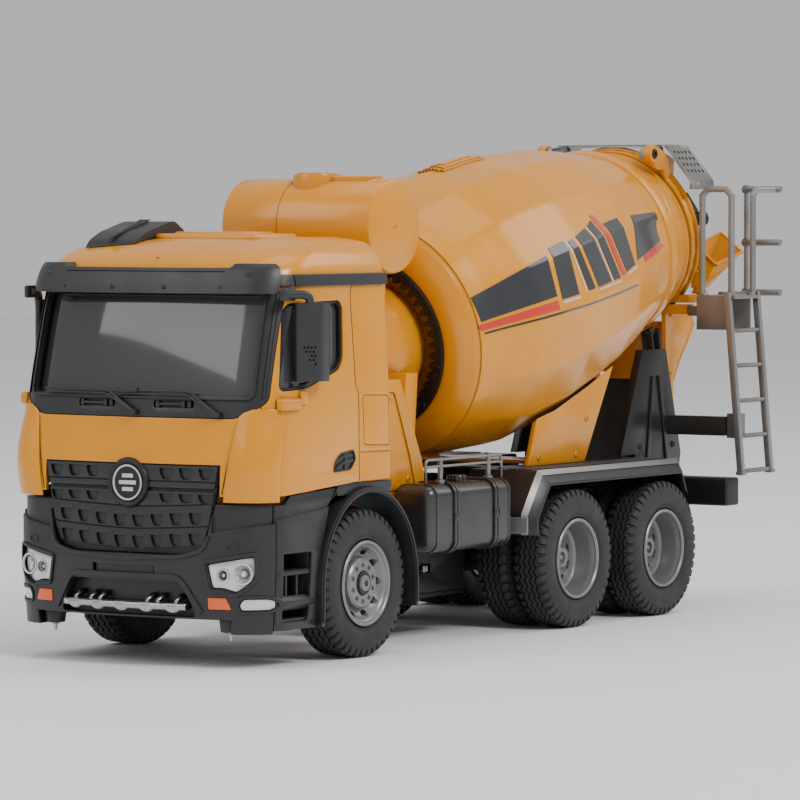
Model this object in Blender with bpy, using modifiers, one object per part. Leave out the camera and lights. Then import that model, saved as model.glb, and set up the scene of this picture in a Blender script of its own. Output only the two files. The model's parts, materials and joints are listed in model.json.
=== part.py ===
"""Toy cement mixer truck at 1:14: cab, three-axle chassis, turning drum, hopper and ladder.

Run in Blender 4.5. Sizes below are millimetres, and MM turns them into metres.
Frame: +X is the truck's left, -Y its front, +Z up, and the tyres stand on z = 0.
Every named object is one closed solid; moving pieces hang on an empty on their joint's axis.
"""
import math

import bpy
import bmesh
from mathutils import Matrix, Vector

MM = 0.001
GAP = 0.3                    # left between two solids that meet

# Wheels and axles
WHEEL_R = 40.0
RIM_R = 23.4
TYRE_W = 24.0
FRONT_AXLE_Y = -178.0
REAR_AXLE_YS = (41.0, 140.5)
FRONT_TYRE_OUT = 84.5        # outer face of the front tyre
REAR_TYRE_OUT = 86.0
DUAL_TYRE_IN = 39.5
KINGPIN_X = 66.0
TIE_ROD_REACH = 14.0         # kingpin to tie rod pin
SHAFT_R = 3.0

# Chassis
RAIL_IN, RAIL_OUT = 24.0, 32.0
RAIL_Z = (60.0, 78.0)
RAIL_Y = (-262.0, 215.6)
DECK_Z = 92.0

# Cab body: height, half width, nose at the centre line, back
CAB_SECTIONS = (                # height, half width, nose, back, and the bow of the nose
    (18.0, 84.0, -283.5, -153.0, 9.0),
    (57.0, 85.0, -285.5, -153.0, 9.0),
    (68.0, 85.0, -284.0, -153.0, 8.0),
    (86.6, 85.0, -281.5, -153.0, 6.0),
    (107.0, 85.0, -280.0, -153.0, 5.0),
    (131.5, 85.0, -277.0, -153.0, 5.5),
    (142.0, 84.6, -275.5, -153.5, 5.5),
    (198.0, 82.4, -263.0, -155.5, 6.0),
    (207.0, 82.0, -260.5, -156.0, 6.5),
    (214.0, 80.5, -255.5, -156.5, 6.5),
    (221.0, 76.5, -241.0, -158.0, 7.0),
    (225.5, 68.0, -222.0, -163.0, 8.0),
    (227.0, 56.0, -205.0, -170.0, 9.0),
)
CAB_FLOOR_Z = 91.0
CAB_WALL = 2.4
CORNER_R = 24.0
GRILLE_Y = -279.5            # the grille's front at the centre line
GRILLE_BOW = 2.5

# Drum: its axis starts at DRUM_ORIGIN and rises to the rear
DRUM_ORIGIN = Vector((0.0, -28.0, 170.3))
DRUM_TILT = math.radians(12.06)
DRUM_WALL = 2.6
DRUM_PROFILE = (             # along the axis, outer radius
    (-23.5, 53.0), (-21.0, 61.0), (-13.5, 69.7), (2.0, 72.0), (20.0, 76.5), (40.0, 81.2),
    (62.0, 83.0), (85.0, 83.0), (122.0, 79.5), (162.0, 74.5), (200.0, 66.0), (226.0, 58.9),
)
TRACK_S = (226.0, 234.0)
TRACK_R = 60.0
MOUTH_S = 259.0
MOUTH_R = 52.0
RING_GEAR_S = (-25.4, -15.0)
RING_GEAR_OUT = 51.6
RING_TEETH = 45
GEAR_MODULE = 2.0
PINION_TEETH = 10
ROLLER_R = 2.4
ROLLER_GAP = GAP + 1.1       # the drum's simplified hulls bulge by 0.8 mm between its ring and its wall
ROLLER_ANGLE = math.radians(34.0)

# Rear platform, ladder and hopper
LADDER_Y = (226.0, 262.0)
LADDER_TOP_X, LADDER_FOOT_X = 80.0, 90.0
LADDER_Z = (80.5, 189.0)
RAIL_TOP_Z = 254.0
PLATFORM_X = (57.0, 84.0)
PLATFORM_Z = (168.0, 189.0)
GUARD_Y = 285.98
ARCH_S = (262.0, 269.0)
ARCH_R = (49.5, 53.5)
HOOD_PIVOT = (205.0, 275.5)  # y, z
CHUTE_PIVOT = (42.0, 258.0)  # x, y

COLOURS = {
    "yellow": ((0.69, 0.34, 0.03, 1.0), 0.35, 0.0),
    "dark": ((0.045, 0.048, 0.05, 1.0), 0.5, 0.0),
    "black": ((0.012, 0.012, 0.013, 1.0), 0.6, 0.0),
    "silver": ((0.32, 0.32, 0.32, 1.0), 0.35, 0.6),
    "rubber": ((0.03, 0.03, 0.032, 1.0), 0.8, 0.0),
    "glass": ((0.03, 0.03, 0.035, 1.0), 0.08, 0.0),
    "steel": ((0.5, 0.5, 0.5, 1.0), 0.25, 1.0),
    "green": ((0.02, 0.16, 0.06, 1.0), 0.5, 0.0),
}


# ---------------------------------------------------------------- scene and materials

for leftover in list(bpy.data.objects):
    bpy.data.objects.remove(leftover)

MIXER = bpy.data.collections.new("toy_cement_mixer")
bpy.context.scene.collection.children.link(MIXER)


def material(name):
    """The Principled material of one colour, made the first time it is asked for."""
    if name in bpy.data.materials:
        return bpy.data.materials[name]
    colour, roughness, metallic = COLOURS[name]
    mat = bpy.data.materials.new(name)
    mat.use_nodes = True
    shader = mat.node_tree.nodes["Principled BSDF"]
    shader.inputs["Base Color"].default_value = colour
    shader.inputs["Roughness"].default_value = roughness
    shader.inputs["Metallic"].default_value = metallic
    return mat


# ---------------------------------------------------------------- shape helpers, in mm

def from_bmesh(bm):
    """A loose working object from a bmesh drawn in mm."""
    bmesh.ops.scale(bm, vec=(MM, MM, MM), verts=bm.verts)
    bmesh.ops.recalc_face_normals(bm, faces=bm.faces)
    mesh = bpy.data.meshes.new("shape")
    bm.to_mesh(mesh)
    bm.free()
    obj = bpy.data.objects.new("shape", mesh)
    MIXER.objects.link(obj)
    return obj


def bake(obj):
    """Apply an object's modifiers to its mesh."""
    depsgraph = bpy.context.evaluated_depsgraph_get()
    mesh = bpy.data.meshes.new_from_object(obj.evaluated_get(depsgraph))
    obj.modifiers.clear()
    obj.data = mesh
    return obj


def combine(base, tools, operation):
    """Boolean the tools into the base one by one, and use them up."""
    for tool in tools:
        modifier = base.modifiers.new(operation, "BOOLEAN")
        modifier.operation = operation
        modifier.object = tool
        modifier.solver = "EXACT"
        bake(base)
        bpy.data.objects.remove(tool)
    return base


def join(base, *tools):
    return combine(base, tools, "UNION")


def cut(base, *tools):
    return combine(base, tools, "DIFFERENCE")


def keep(base, *tools):
    return combine(base, tools, "INTERSECT")


def transform(obj, matrix):
    """Move a working shape; the matrix is in mm."""
    scaled = matrix.copy()
    scaled.translation = matrix.translation * MM
    obj.data.transform(scaled)
    if matrix.determinant() < 0:
        obj.data.flip_normals()
    return obj


def copy_of(obj):
    twin = obj.copy()
    twin.data = obj.data.copy()
    MIXER.objects.link(twin)
    return twin


def mirrored(obj):
    """A copy on the other side of the truck."""
    return transform(copy_of(obj), Matrix.Scale(-1, 4, (1, 0, 0)))


def box(x, y, z):
    """A block between three pairs of coordinates."""
    bm = bmesh.new()
    bmesh.ops.create_cube(bm, size=1.0)
    size = (x[1] - x[0], y[1] - y[0], z[1] - z[0])
    centre = ((x[0] + x[1]) / 2, (y[0] + y[1]) / 2, (z[0] + z[1]) / 2)
    bmesh.ops.scale(bm, vec=size, verts=bm.verts)
    bmesh.ops.translate(bm, vec=centre, verts=bm.verts)
    return from_bmesh(bm)


def rounded_box(x, y, z, radius, segments=2):
    block = box(x, y, z)
    bevel = block.modifiers.new("round", "BEVEL")
    bevel.width = radius * MM
    bevel.segments = segments
    bevel.limit_method = "ANGLE"
    return bake(block)


def cylinder(start, end, radius, segments=24, end_radius=None):
    """A round bar or cone between two points."""
    start, end = Vector(start), Vector(end)
    axis = end - start
    bm = bmesh.new()
    bmesh.ops.create_cone(bm, cap_ends=True, segments=segments, radius1=radius,
                          radius2=radius if end_radius is None else end_radius, depth=axis.length)
    turn = Vector((0, 0, 1)).rotation_difference(axis).to_matrix().to_4x4()
    bmesh.ops.transform(bm, matrix=Matrix.Translation((start + end) / 2) @ turn, verts=bm.verts)
    return from_bmesh(bm)


def plate(outline, span, axis):
    """A flat outline extruded along x, y or z, as a filled 2D curve."""
    curve = bpy.data.curves.new("outline", "CURVE")
    curve.dimensions = "2D"
    curve.fill_mode = "BOTH"
    curve.extrude = (span[1] - span[0]) / 2
    spline = curve.splines.new("POLY")
    spline.points.add(len(outline) - 1)
    for point, (u, v) in zip(spline.points, outline):
        point.co = (u, v, 0, 1)
    spline.use_cyclic_u = True
    holder = bpy.data.objects.new("outline", curve)
    MIXER.objects.link(holder)
    depsgraph = bpy.context.evaluated_depsgraph_get()
    mesh = bpy.data.meshes.new_from_object(holder.evaluated_get(depsgraph))
    bpy.data.objects.remove(holder)
    bm = bmesh.new()
    bm.from_mesh(mesh)
    bmesh.ops.remove_doubles(bm, verts=bm.verts, dist=0.001)
    middle = (span[0] + span[1]) / 2
    place = {
        "x": Matrix(((0, 0, 1, middle), (1, 0, 0, 0), (0, 1, 0, 0), (0, 0, 0, 1))),
        "y": Matrix(((1, 0, 0, 0), (0, 0, -1, middle), (0, 1, 0, 0), (0, 0, 0, 1))),
        "z": Matrix.Translation((0, 0, middle)),
    }[axis]
    bmesh.ops.transform(bm, matrix=place, verts=bm.verts)
    return from_bmesh(bm)


def turned(profile, segments, matrix):
    """A closed (along, radius) outline turned about local z by a Screw modifier, then placed."""
    mesh = bpy.data.meshes.new("profile")
    verts = [(radius * MM, 0, along * MM) for along, radius in profile]
    count = len(verts)
    open_ends = profile[0][1] == 0 and profile[-1][1] == 0
    edges = [(i, (i + 1) % count) for i in range(count - 1 if open_ends else count)]
    mesh.from_pydata(verts, edges, [])
    obj = bpy.data.objects.new("profile", mesh)
    MIXER.objects.link(obj)
    screw = obj.modifiers.new("turn", "SCREW")
    screw.steps = segments
    screw.render_steps = segments
    screw.use_merge_vertices = True
    screw.merge_threshold = 0.00001
    bake(obj)
    bm = bmesh.new()
    bm.from_mesh(obj.data)
    bmesh.ops.recalc_face_normals(bm, faces=bm.faces)
    bm.to_mesh(obj.data)
    bm.free()
    return transform(obj, matrix)


def tube(points, radius, sides=10):
    """A round rail along straight runs, mitred where they meet."""
    points = [Vector(p) for p in points]
    runs = [(b - a).normalized() for a, b in zip(points, points[1:])]
    turn = Vector((0, 0, 1)).rotation_difference(runs[0])
    ring = []
    for i in range(sides):
        angle = 2 * math.pi * i / sides
        ring.append(points[0] + turn @ Vector((radius * math.cos(angle), radius * math.sin(angle), 0)))
    rings = [ring]
    for i, point in enumerate(points[1:]):
        run = runs[i]
        after = runs[i + 1] if i + 1 < len(runs) else run
        normal = (run + after).normalized()
        ring = [p + run * ((point - p).dot(normal) / run.dot(normal)) for p in ring]
        rings.append(ring)
    return loft(rings)


def loft(rings):
    """A closed skin through rings of equal point count, capped at both ends."""
    bm = bmesh.new()
    rows = [[bm.verts.new(point) for point in ring] for ring in rings]
    count = len(rows[0])
    for low, high in zip(rows, rows[1:]):
        for i in range(count):
            bm.faces.new((low[i], low[(i + 1) % count], high[(i + 1) % count], high[i]))
    bm.faces.new(rows[0])
    bm.faces.new(rows[-1])
    return from_bmesh(bm)


def piece(name, obj, colour, pivot=None):
    """Name a finished solid, colour it and hang it on its joint's empty."""
    bm = bmesh.new()
    bm.from_mesh(obj.data)
    bmesh.ops.remove_doubles(bm, verts=bm.verts, dist=0.000002)
    bmesh.ops.dissolve_degenerate(bm, edges=bm.edges, dist=0.000002)
    bm.to_mesh(obj.data)
    bm.free()
    obj.name = name
    obj.data.name = name
    obj.data.materials.clear()
    obj.data.materials.append(material(colour))
    obj.data.shade_smooth()
    obj.data.set_sharp_from_angle(angle=math.radians(35))
    if pivot is not None:
        obj.parent = pivot
        obj.matrix_parent_inverse = pivot.matrix_world.inverted()
    return obj


def pivot_at(name, point):
    """An empty on a joint's axis."""
    empty = bpy.data.objects.new(name, None)
    empty.empty_display_size = 0.01
    MIXER.objects.link(empty)
    empty.matrix_world = Matrix.Translation(Vector(point) * MM)
    return empty


def along_x(origin):
    """Places a turned shape so that its local z runs along +X."""
    return Matrix.Translation(origin) @ Matrix.Rotation(math.pi / 2, 4, "Y")


def arc(centre, radii, start, end, steps):
    """Points on an ellipse between two angles in degrees."""
    points = []
    for i in range(steps + 1):
        angle = math.radians(start + (end - start) * i / steps)
        points.append((centre[0] + radii[0] * math.cos(angle), centre[1] + radii[1] * math.sin(angle)))
    return points


# ---------------------------------------------------------------- cab

def plan_outline(half_width, nose_y, back_y, bow):
    """Plan of the cab body at one height: bowed nose, round corners, straight sides, flat back."""
    nose_half = half_width - CORNER_R * 0.75
    slope = math.atan(2 * bow / nose_half)
    points = [(nose_half * i / 4, nose_y + bow * (i / 4) ** 2) for i in range(5)]
    radius = (half_width - nose_half) / (1 - math.sin(slope))
    for i in range(1, 6):
        angle = slope + (math.pi / 2 - slope) * i / 5
        x = nose_half + radius * (math.sin(angle) - math.sin(slope))
        points.append((x, nose_y + bow + radius * (math.cos(slope) - math.cos(angle))))
    points += [(half_width, back_y - 4), (half_width - 4, back_y)]
    return points + [(-x, y) for x, y in reversed(points) if x > 0]


def section_at(z):
    """The cab's half width, nose, back and bow at a height, between the listed sections."""
    for low, high in zip(CAB_SECTIONS, CAB_SECTIONS[1:]):
        if low[0] <= z <= high[0]:
            t = (z - low[0]) / (high[0] - low[0])
            return [a + (b - a) * t for a, b in zip(low[1:], high[1:])]
    return CAB_SECTIONS[0][1:] if z < CAB_SECTIONS[0][0] else CAB_SECTIONS[-1][1:]


def body(z_low, z_high, inset=0.0, nose_out=0.0):
    """The cab's outer form between two heights, moved in by inset and its nose out by nose_out."""
    heights = [z_low] + [s[0] for s in CAB_SECTIONS if z_low < s[0] < z_high] + [z_high]
    rings = []
    for z in heights:
        half_width, nose_y, back_y, bow = section_at(z)
        outline = plan_outline(half_width - inset, nose_y + inset - nose_out, back_y - inset, bow)
        rings.append([(x, y, z) for x, y in outline])
    return loft(rings)


def skin(z_low, z_high, outer, inner):
    """A bent wall that follows the cab's form between two insets, open above and below."""
    return cut(body(z_low, z_high, outer), body(z_low - 1, z_high + 1, inner))


def both_sides(outline):
    """A front-view outline given for the left half, closed over the centre line."""
    return outline + [(-x, z) for x, z in reversed(outline)]


FRAME_OUTLINE = [(63.5, 132.0), (79.5, 140.0), (79.0, 199.5)]
GLASS_OUTLINE = [(72.0, 143.0), (71.0, 197.0)]
GRILLE_OUTLINE = [(0.01, 57.5), (36.0, 60.0), (47.0, 62.5), (50.0, 68.0), (57.0, 107.0)]
WINDOW_OUTLINE = [(-258.0, 146.0), (-235.0, 147.0), (-204.0, 156.0), (-200.0, 162.0), (-199.0, 190.0),
                  (-202.0, 193.5), (-247.0, 192.5), (-251.0, 188.0)]


def grown(outline, by, middle_x=0.0):
    """An outline with every corner moved away from its middle by the same step in x and z."""
    heights = [z for _, z in outline]
    middle_z = (min(heights) + max(heights)) / 2
    return [(x + (by if x > middle_x else -by), z + (by if z > middle_z else -by)) for x, z in outline]


def cab_shell():
    shell = body(CAB_FLOOR_Z, 227.0)
    inner = body(CAB_FLOOR_Z - 5, 227.0, CAB_WALL)
    transform(inner, Matrix.Translation((0, 0, -CAB_WALL)))
    cut(shell, inner)
    front = (-320.0, -228.0)
    cut(shell, plate(both_sides(grown(FRAME_OUTLINE, 0)), front, "y"))
    cut(shell, plate([(58.0, 80.0), (58.0, 107.5), (-58.0, 107.5), (-58.0, 80.0)], front, "y"))
    cut(shell, plate(WINDOW_OUTLINE, (-120.0, 120.0), "x"))
    wedge = [(-300.0, 85.0), (-140.0, 85.0), (-140.0, 97.0), (-262.0, 91.0), (-300.0, 90.0)]
    cut(shell, plate(wedge, (-120.0, 120.0), "x"))
    return shell


def corner_panel():
    """The left air deflector: a bowed strip that stands off the cab's corner."""
    rings = []
    for z, inner_x, outer_x, stand in ((87.0, 60.0, 83.0, 3.0), (100.0, 61.0, 84.0, 3.4),
                                       (120.0, 64.0, 84.0, 3.0), (132.0, 67.0, 82.0, 2.0)):
        near = corner_run(z, inner_x, outer_x, -1.2)
        far = corner_run(z, inner_x, outer_x, stand)
        rings.append([(x, y, z) for x, y in far + near[::-1]])
    return loft(rings)


def corner_run(z, inner_x, outer_x, stand):
    """Points along the cab's front corner between two x values, moved outward by stand."""
    outline = plan_outline(*section_at(z))[:10]
    points = []
    for i in range(6):
        x = inner_x + (outer_x - inner_x) * i / 5
        for a, b in zip(outline, outline[1:]):
            if a[0] <= x <= b[0]:
                t = (x - a[0]) / (b[0] - a[0])
                y = a[1] + (b[1] - a[1]) * t
                normal = Vector((b[1] - a[1], a[0] - b[0])).normalized()
                points.append((x + normal.x * stand, y + normal.y * stand))
                break
    return points


def windshield_frame():
    frame = skin(131.0, 199.0, 0.4, 3.0)
    keep(frame, plate(both_sides(grown(FRAME_OUTLINE, -0.5)), (-320.0, -228.0), "y"))
    cut(frame, plate(both_sides(GLASS_OUTLINE), (-320.0, -228.0), "y"))
    return frame


def cab_glazing():
    """One smoked insert inside the cab that shows through all three window openings."""
    glass = skin(137.0, 196.0, 3.4, 5.0)
    keep(glass, box((-100, 100), (-300, -192), (100, 210)))
    return glass


def sun_visor():
    """A bowed hood over the windscreen, with strips along the roof's sides."""
    visor = body(198.0, 213.0, -1.6, 7.4)
    hollow = keep(body(190.0, 207.0, 1.2, 7.2), box((-66, 66), (-300, -200), (180, 230)))
    cut(visor, hollow)
    cut(visor, body(190.0, 220.0, -GAP))
    keep(visor, plate([(-300, 190), (-256, 190), (-251, 220), (-300, 220)], (-100, 100), "x"))
    cut(visor, plate([(-56, 209.5), (56, 209.5), (60, 216), (-60, 216)], (-320, -225), "y"))
    for side in (-1, 1):
        strip = body(201.5, 207.5, -1.6)
        cut(strip, body(190.0, 220.0, -GAP))
        lo, hi = sorted((side * 60, side * 100))
        keep(strip, box((lo, hi), (-258, -160), (190, 220)))
        join(visor, strip)
    return visor


def roof_intake():
    """The dark scoop on the right of the roof: low and round in front, highest near its back."""
    side_view = [(-236.0, 214.0), (-236.0, 219.0), (-232.0, 224.0), (-200.0, 235.0), (-196.0, 235.0),
                 (-186.0, 229.0), (-184.0, 214.0)]
    housing = plate(side_view, (-62.0, -30.0), "x")
    bevel = housing.modifiers.new("round", "BEVEL")
    bevel.width = 2.5 * MM
    bevel.segments = 1
    bevel.limit_method = "ANGLE"
    bake(housing)
    roof = transform(body(150.0, 227.0, -GAP), Matrix.Translation((0, 0, GAP)))
    return cut(housing, roof)


def mirror():
    """The left mirror: a tall housing that leans back outward, on an arm from above the door window."""
    plan = [(84.2, -246.5), (86.5, -247.5), (94.6, -237.5), (95.0, -234.5), (93.6, -227.0), (91.6, -226.0),
            (84.2, -236.0)]
    head = plate(plan, (151.5, 192.5), "z")
    bevel = head.modifiers.new("round", "BEVEL")
    bevel.width = 1.5 * MM
    bevel.segments = 1
    bevel.limit_method = "ANGLE"
    bake(head)
    arm = tube([(83.9, -253, 197.0), (89.0, -243, 197.0), (89.0, -240, 190.0)], 2.2)
    foot = rounded_box((83.4, 85.6), (-259, -247), (194.0, 200.5), 0.8, 1)
    return join(head, arm, foot)


# ---------------------------------------------------------------- front end

HEADLIGHT_OUTLINE = [(51.5, 55.0), (75.5, 59.4), (76.0, 50.0), (72.5, 44.5), (66.5, 41.0), (60.0, 43.0),
                     (54.0, 43.0)]


def front_bumper():
    bumper = skin(18.5, 86.6, 0.0, 8.0)
    keep(bumper, box((-100, 100), (-300, -262.4), (0, 100)))
    front = (-320.0, -240.0)
    cut(bumper, plate(both_sides(grown(GRILLE_OUTLINE[1:], 0.6) + [(60.0, 120.0)]), front, "y"))
    cut(bumper, plate([(-62, 10), (62, 10), (64, 26), (-64, 26)], front, "y"))
    pocket = cut(body(10.0, 90.0, -3.0), body(5.0, 95.0, 5.0))
    keep(pocket, plate([(-47.0, 26.5), (47.0, 26.5), (38.0, 45.5), (-38.0, 45.5)], front, "y"))
    cut(bumper, pocket)
    recess = cut(body(10.0, 90.0, -3.0), body(5.0, 95.0, 1.2))
    keep(recess, plate([(-20, 47.5), (20, 47.5), (20, 53.5), (-20, 53.5)], front, "y"))
    cut(bumper, recess)
    for side in (-1, 1):
        outline = [(side * x, z) for x, z in grown(HEADLIGHT_OUTLINE, 0.5, 64.0)]
        cut(bumper, keep(cut(body(10.0, 90.0, -3.0), body(5.0, 95.0, 6.0)), plate(outline, front, "y")))
    return bumper


def grille_form(nose_y):
    """The grille's own nearly flat form, set back from the bumper, between two heights."""
    rings = []
    for z in (50.0, 112.0):
        front = [(-60.0 + 12.0 * i, nose_y + GRILLE_BOW * (i / 5 - 1) ** 2) for i in range(11)]
        rings.append([(x, y, z) for x, y in front + [(60.0, -240.0), (-60.0, -240.0)]])
    return loft(rings)


def grille():
    panel = cut(grille_form(GRILLE_Y), grille_form(GRILLE_Y + 4.0))
    return keep(panel, plate(both_sides(GRILLE_OUTLINE[1:]), (-320.0, -240.0), "y"))


def headlight(side):
    lamp = keep(skin(38.0, 62.0, 0.6, 5.6), box((-100, 100), (-300, -262.6), (0, 100)))
    return keep(lamp, plate([(side * x, z) for x, z in HEADLIGHT_OUTLINE], (-320.0, -240.0), "y"))


def skid_plate():
    """The silver plate in the bumper's lower opening, with a scalloped front edge."""
    outline = [(-39, -281.0)]
    for i in range(5):
        x = -32 + 16 * i
        outline += [(x - 3.0, -288.2), (x + 3.0, -288.2), (x + 6.0, -286.4), (x + 10.0, -286.4)]
    outline = outline[:-2] + [(x, -281.0) for x in (39, 26, 13, 0, -13, -26)]
    return plate([(x, y + 0.0022 * x * x) for x, y in outline], (29.5, 32.5), "z")


def arch_path(radii, foot_front, foot_rear):
    """Side view of the wheel arch: straight legs and an elliptical top."""
    centre = (FRONT_AXLE_Y - 0.2, WHEEL_R)
    top = arc(centre, radii, 180, 0, 14)
    return [(top[0][0], foot_front)] + top + [(top[-1][0], foot_rear)]


def fender():
    """The left lower cab side: step well with two treads, side panel and wheel arch."""
    panel = skin(20.0, 95.9, 0.0, 3.5)
    side_view = [(-261.8, 20.0), (-222.4, 20.0), (-222.4, 60.0), (-215.0, 84.0), (-205.0, 93.2),
                 (-250.0, 90.8), (-255.0, 86.4), (-261.8, 86.4)]
    keep(panel, plate(side_view, (50.0, 100.0), "x"))
    outer = arch_path((47.2, 52.3), 20.0, 25.0)
    inner = arch_path((44.2, 49.4), 20.0, 25.0)
    band = plate(outer + inner[::-1], (60.0, 88.0), "x")
    well = box((62.0, 83.0), (-261.6, -230.5), (24.0, 64.5))
    cut(well, box((64.0, 90.0), (-259.6, -232.5), (26.0, 62.5)))
    cut(panel, box((66.0, 100.0), (-259.0, -233.5), (27.0, 61.5)))
    treads = [box((63.0, 83.5), (-260.6, -231.5), (z, z + 2.0)) for z in (49.0, 33.5)]
    trim = box((80.0, 84.4), (-206.0, -153.5), (88.6, 93.2))
    cut(trim, plate(arch_path((46.0, 51.0), 20.0, 25.0), (50.0, 100.0), "x"))
    return join(band, panel, well, *treads, trim)


# ---------------------------------------------------------------- chassis

def chassis_frame():
    """Two box rails, cross-members, the cab floor and the tank and deck brackets."""
    frame = box((RAIL_IN, RAIL_OUT), RAIL_Y, RAIL_Z)
    join(frame, box((-RAIL_OUT, -RAIL_IN), RAIL_Y, RAIL_Z))
    for y in (-257.0, -205.0, -120.0, -20.0, 90.0, 185.0):
        join(frame, box((-RAIL_IN - 2, RAIL_IN + 2), (y - 4, y + 4), (RAIL_Z[0] + 3, RAIL_Z[1] - 3)))
    join(frame, box((-54, 54), (-256, -158), (RAIL_Z[1] - 1, 81.0)))
    for side in (-1, 1):
        for y in (-80.0, -38.0):
            lo, hi = sorted((side * (RAIL_OUT - 2), side * 51.6))
            join(frame, box((lo, hi), (y - 4, y + 4), (63.0, 71.0)))
        for y in (25.0, 148.0):
            lo, hi = sorted((side * RAIL_IN, side * 40.0))
            join(frame, box((lo, hi), (y - 4, y + 4), (RAIL_Z[1] - 2, 89.3)))
    join(frame, box((-46, 46), (-273.6, -261), (62.0, 72.0)))
    return frame


def front_axle_beam():
    """The dropped beam with a yoke at each end, and its two leaf springs."""
    beam = box((-60, 60), (FRONT_AXLE_Y - 4, FRONT_AXLE_Y + 4), (36.5, 43.5))
    for side in (-1, 1):
        lo, hi = sorted((side * 56, side * 60.4))
        join(beam, box((lo, hi), (FRONT_AXLE_Y - 5, FRONT_AXLE_Y + 5), (26.5, 53.5)))
        for z in ((26.5, 29.5), (50.5, 53.5)):
            lo, hi = sorted((side * 57, side * (KINGPIN_X + 4)))
            ear = box((lo, hi), (FRONT_AXLE_Y - 5, FRONT_AXLE_Y + 5), z)
            pin_hole = cylinder((side * KINGPIN_X, FRONT_AXLE_Y, z[0] - 2),
                                (side * KINGPIN_X, FRONT_AXLE_Y, z[1] + 2), 2.3, 16)
            join(beam, cut(ear, pin_hole))
        spring = arc((FRONT_AXLE_Y, 95.7), (60, 50.0), 232, 308, 6)
        spring += arc((FRONT_AXLE_Y, 99.4), (60, 50.0), 308, 232, 6)
        join(beam, plate(spring, sorted((side * 25.5, side * 30.5)), "x"))
        lo, hi = sorted((side * 25, side * 31))
        join(beam, box((lo, hi), (FRONT_AXLE_Y - 6, FRONT_AXLE_Y + 6), (42.0, 48.0)))
    return beam


def knuckle(side):
    """Swivels on the kingpin and carries the stub axle and the steering arm."""
    x, y = side * KINGPIN_X, FRONT_AXLE_Y
    part = cylinder((x, y, 29.9), (x, y, 50.1), 4.4, 20)
    join(part, cylinder((x, y, 26.8), (x, y, 53.2), 2.0, 16))
    join(part, cylinder((x, y, WHEEL_R), (side * 81.0, y, WHEEL_R), 2.7, 20))
    arm_y = y + TIE_ROD_REACH
    join(part, box((x - 2.2, x + 2.2), (y + 2, arm_y), (33.0, 36.5)))
    join(part, cylinder((x, arm_y, 33.0), (x, arm_y, 36.5), 3.2, 16))
    join(part, cylinder((x, arm_y, 34.0), (x, arm_y, 41.5), 1.4, 12))
    return part


def tie_rod():
    """A flat rod between the two steering arms, with play in its right eye."""
    y = FRONT_AXLE_Y + TIE_ROD_REACH
    rod = box((-63, 63), (y - 1.6, y + 1.6), (36.9, 39.9))
    for side, bore in ((1, 1.7), (-1, 2.0)):
        eye = cylinder((side * KINGPIN_X, y, 36.9), (side * KINGPIN_X, y, 39.9), 3.2, 16)
        join(rod, eye)
        cut(rod, cylinder((side * KINGPIN_X, y, 35), (side * KINGPIN_X, y, 42), bore, 16))
    return rod


def front_rim(side):
    """Turned rim with a dished face, a hub and a blind bore for the stub axle."""
    profile = [(84.2, 0.0), (84.2, 5.6), (80.5, 7.5), (79.5, 14.5), (77.5, 16.0), (77.5, 19.5),
               (84.6, 22.0), (84.6, RIM_R), (61.2, RIM_R), (61.2, 20.6), (75.0, 20.0), (75.0, 8.0),
               (71.2, 8.0), (71.2, 3.0), (81.6, 3.0), (81.6, 0.0)]
    return side_turned(profile, side, FRONT_AXLE_Y)


def rear_rim(side, y):
    """Deep-dished rim for a pair of tyres, pressed on the axle shaft."""
    profile = [(73.5, 0.0), (73.5, 4.5), (70.5, 6.5), (70.0, 14.0), (67.5, 18.5), (83.5, 21.2), (85.8, 22.0),
               (85.8, RIM_R), (39.8, RIM_R), (39.8, 21.2), (62.5, 20.0), (62.5, 9.0), (52.0, 7.0),
               (52.0, SHAFT_R + GAP), (72.0, SHAFT_R + GAP), (72.0, 0.0)]
    return side_turned(profile, side, y)


def side_turned(profile, side, y, segments=20):
    """A turned wheel part given by (x, radius) for the left side."""
    flip = Matrix.Scale(side, 4, (1, 0, 0))
    return turned(profile, segments, flip @ along_x((0, y, WHEEL_R)))


def tyre_profile(inner_x, outer_x):
    """One tyre's section: bead, bulging sidewalls, shoulders and tread."""
    bore = RIM_R + GAP
    return [(inner_x + 1.6, bore), (inner_x, 32.0), (inner_x + 2.4, WHEEL_R),
            (outer_x - 2.4, WHEEL_R), (outer_x, 32.0), (outer_x - 1.6, bore)]


def front_tyre(side):
    return side_turned(tyre_profile(FRONT_TYRE_OUT - TYRE_W, FRONT_TYRE_OUT), side, FRONT_AXLE_Y, 28)


def rear_tyre(side, y):
    """A pair of tyres moulded together: two treads with a deep groove between them."""
    inner = tyre_profile(DUAL_TYRE_IN, 61.4)
    outer = tyre_profile(64.4, REAR_TYRE_OUT)
    profile = inner[:5] + [(62.2, 27.0), (63.6, 27.0)] + outer[1:]
    return side_turned(profile, side, y, 28)


def rear_axle(y):
    return cylinder((-71.6, y, WHEEL_R), (71.6, y, WHEEL_R), SHAFT_R, 16)


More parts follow.
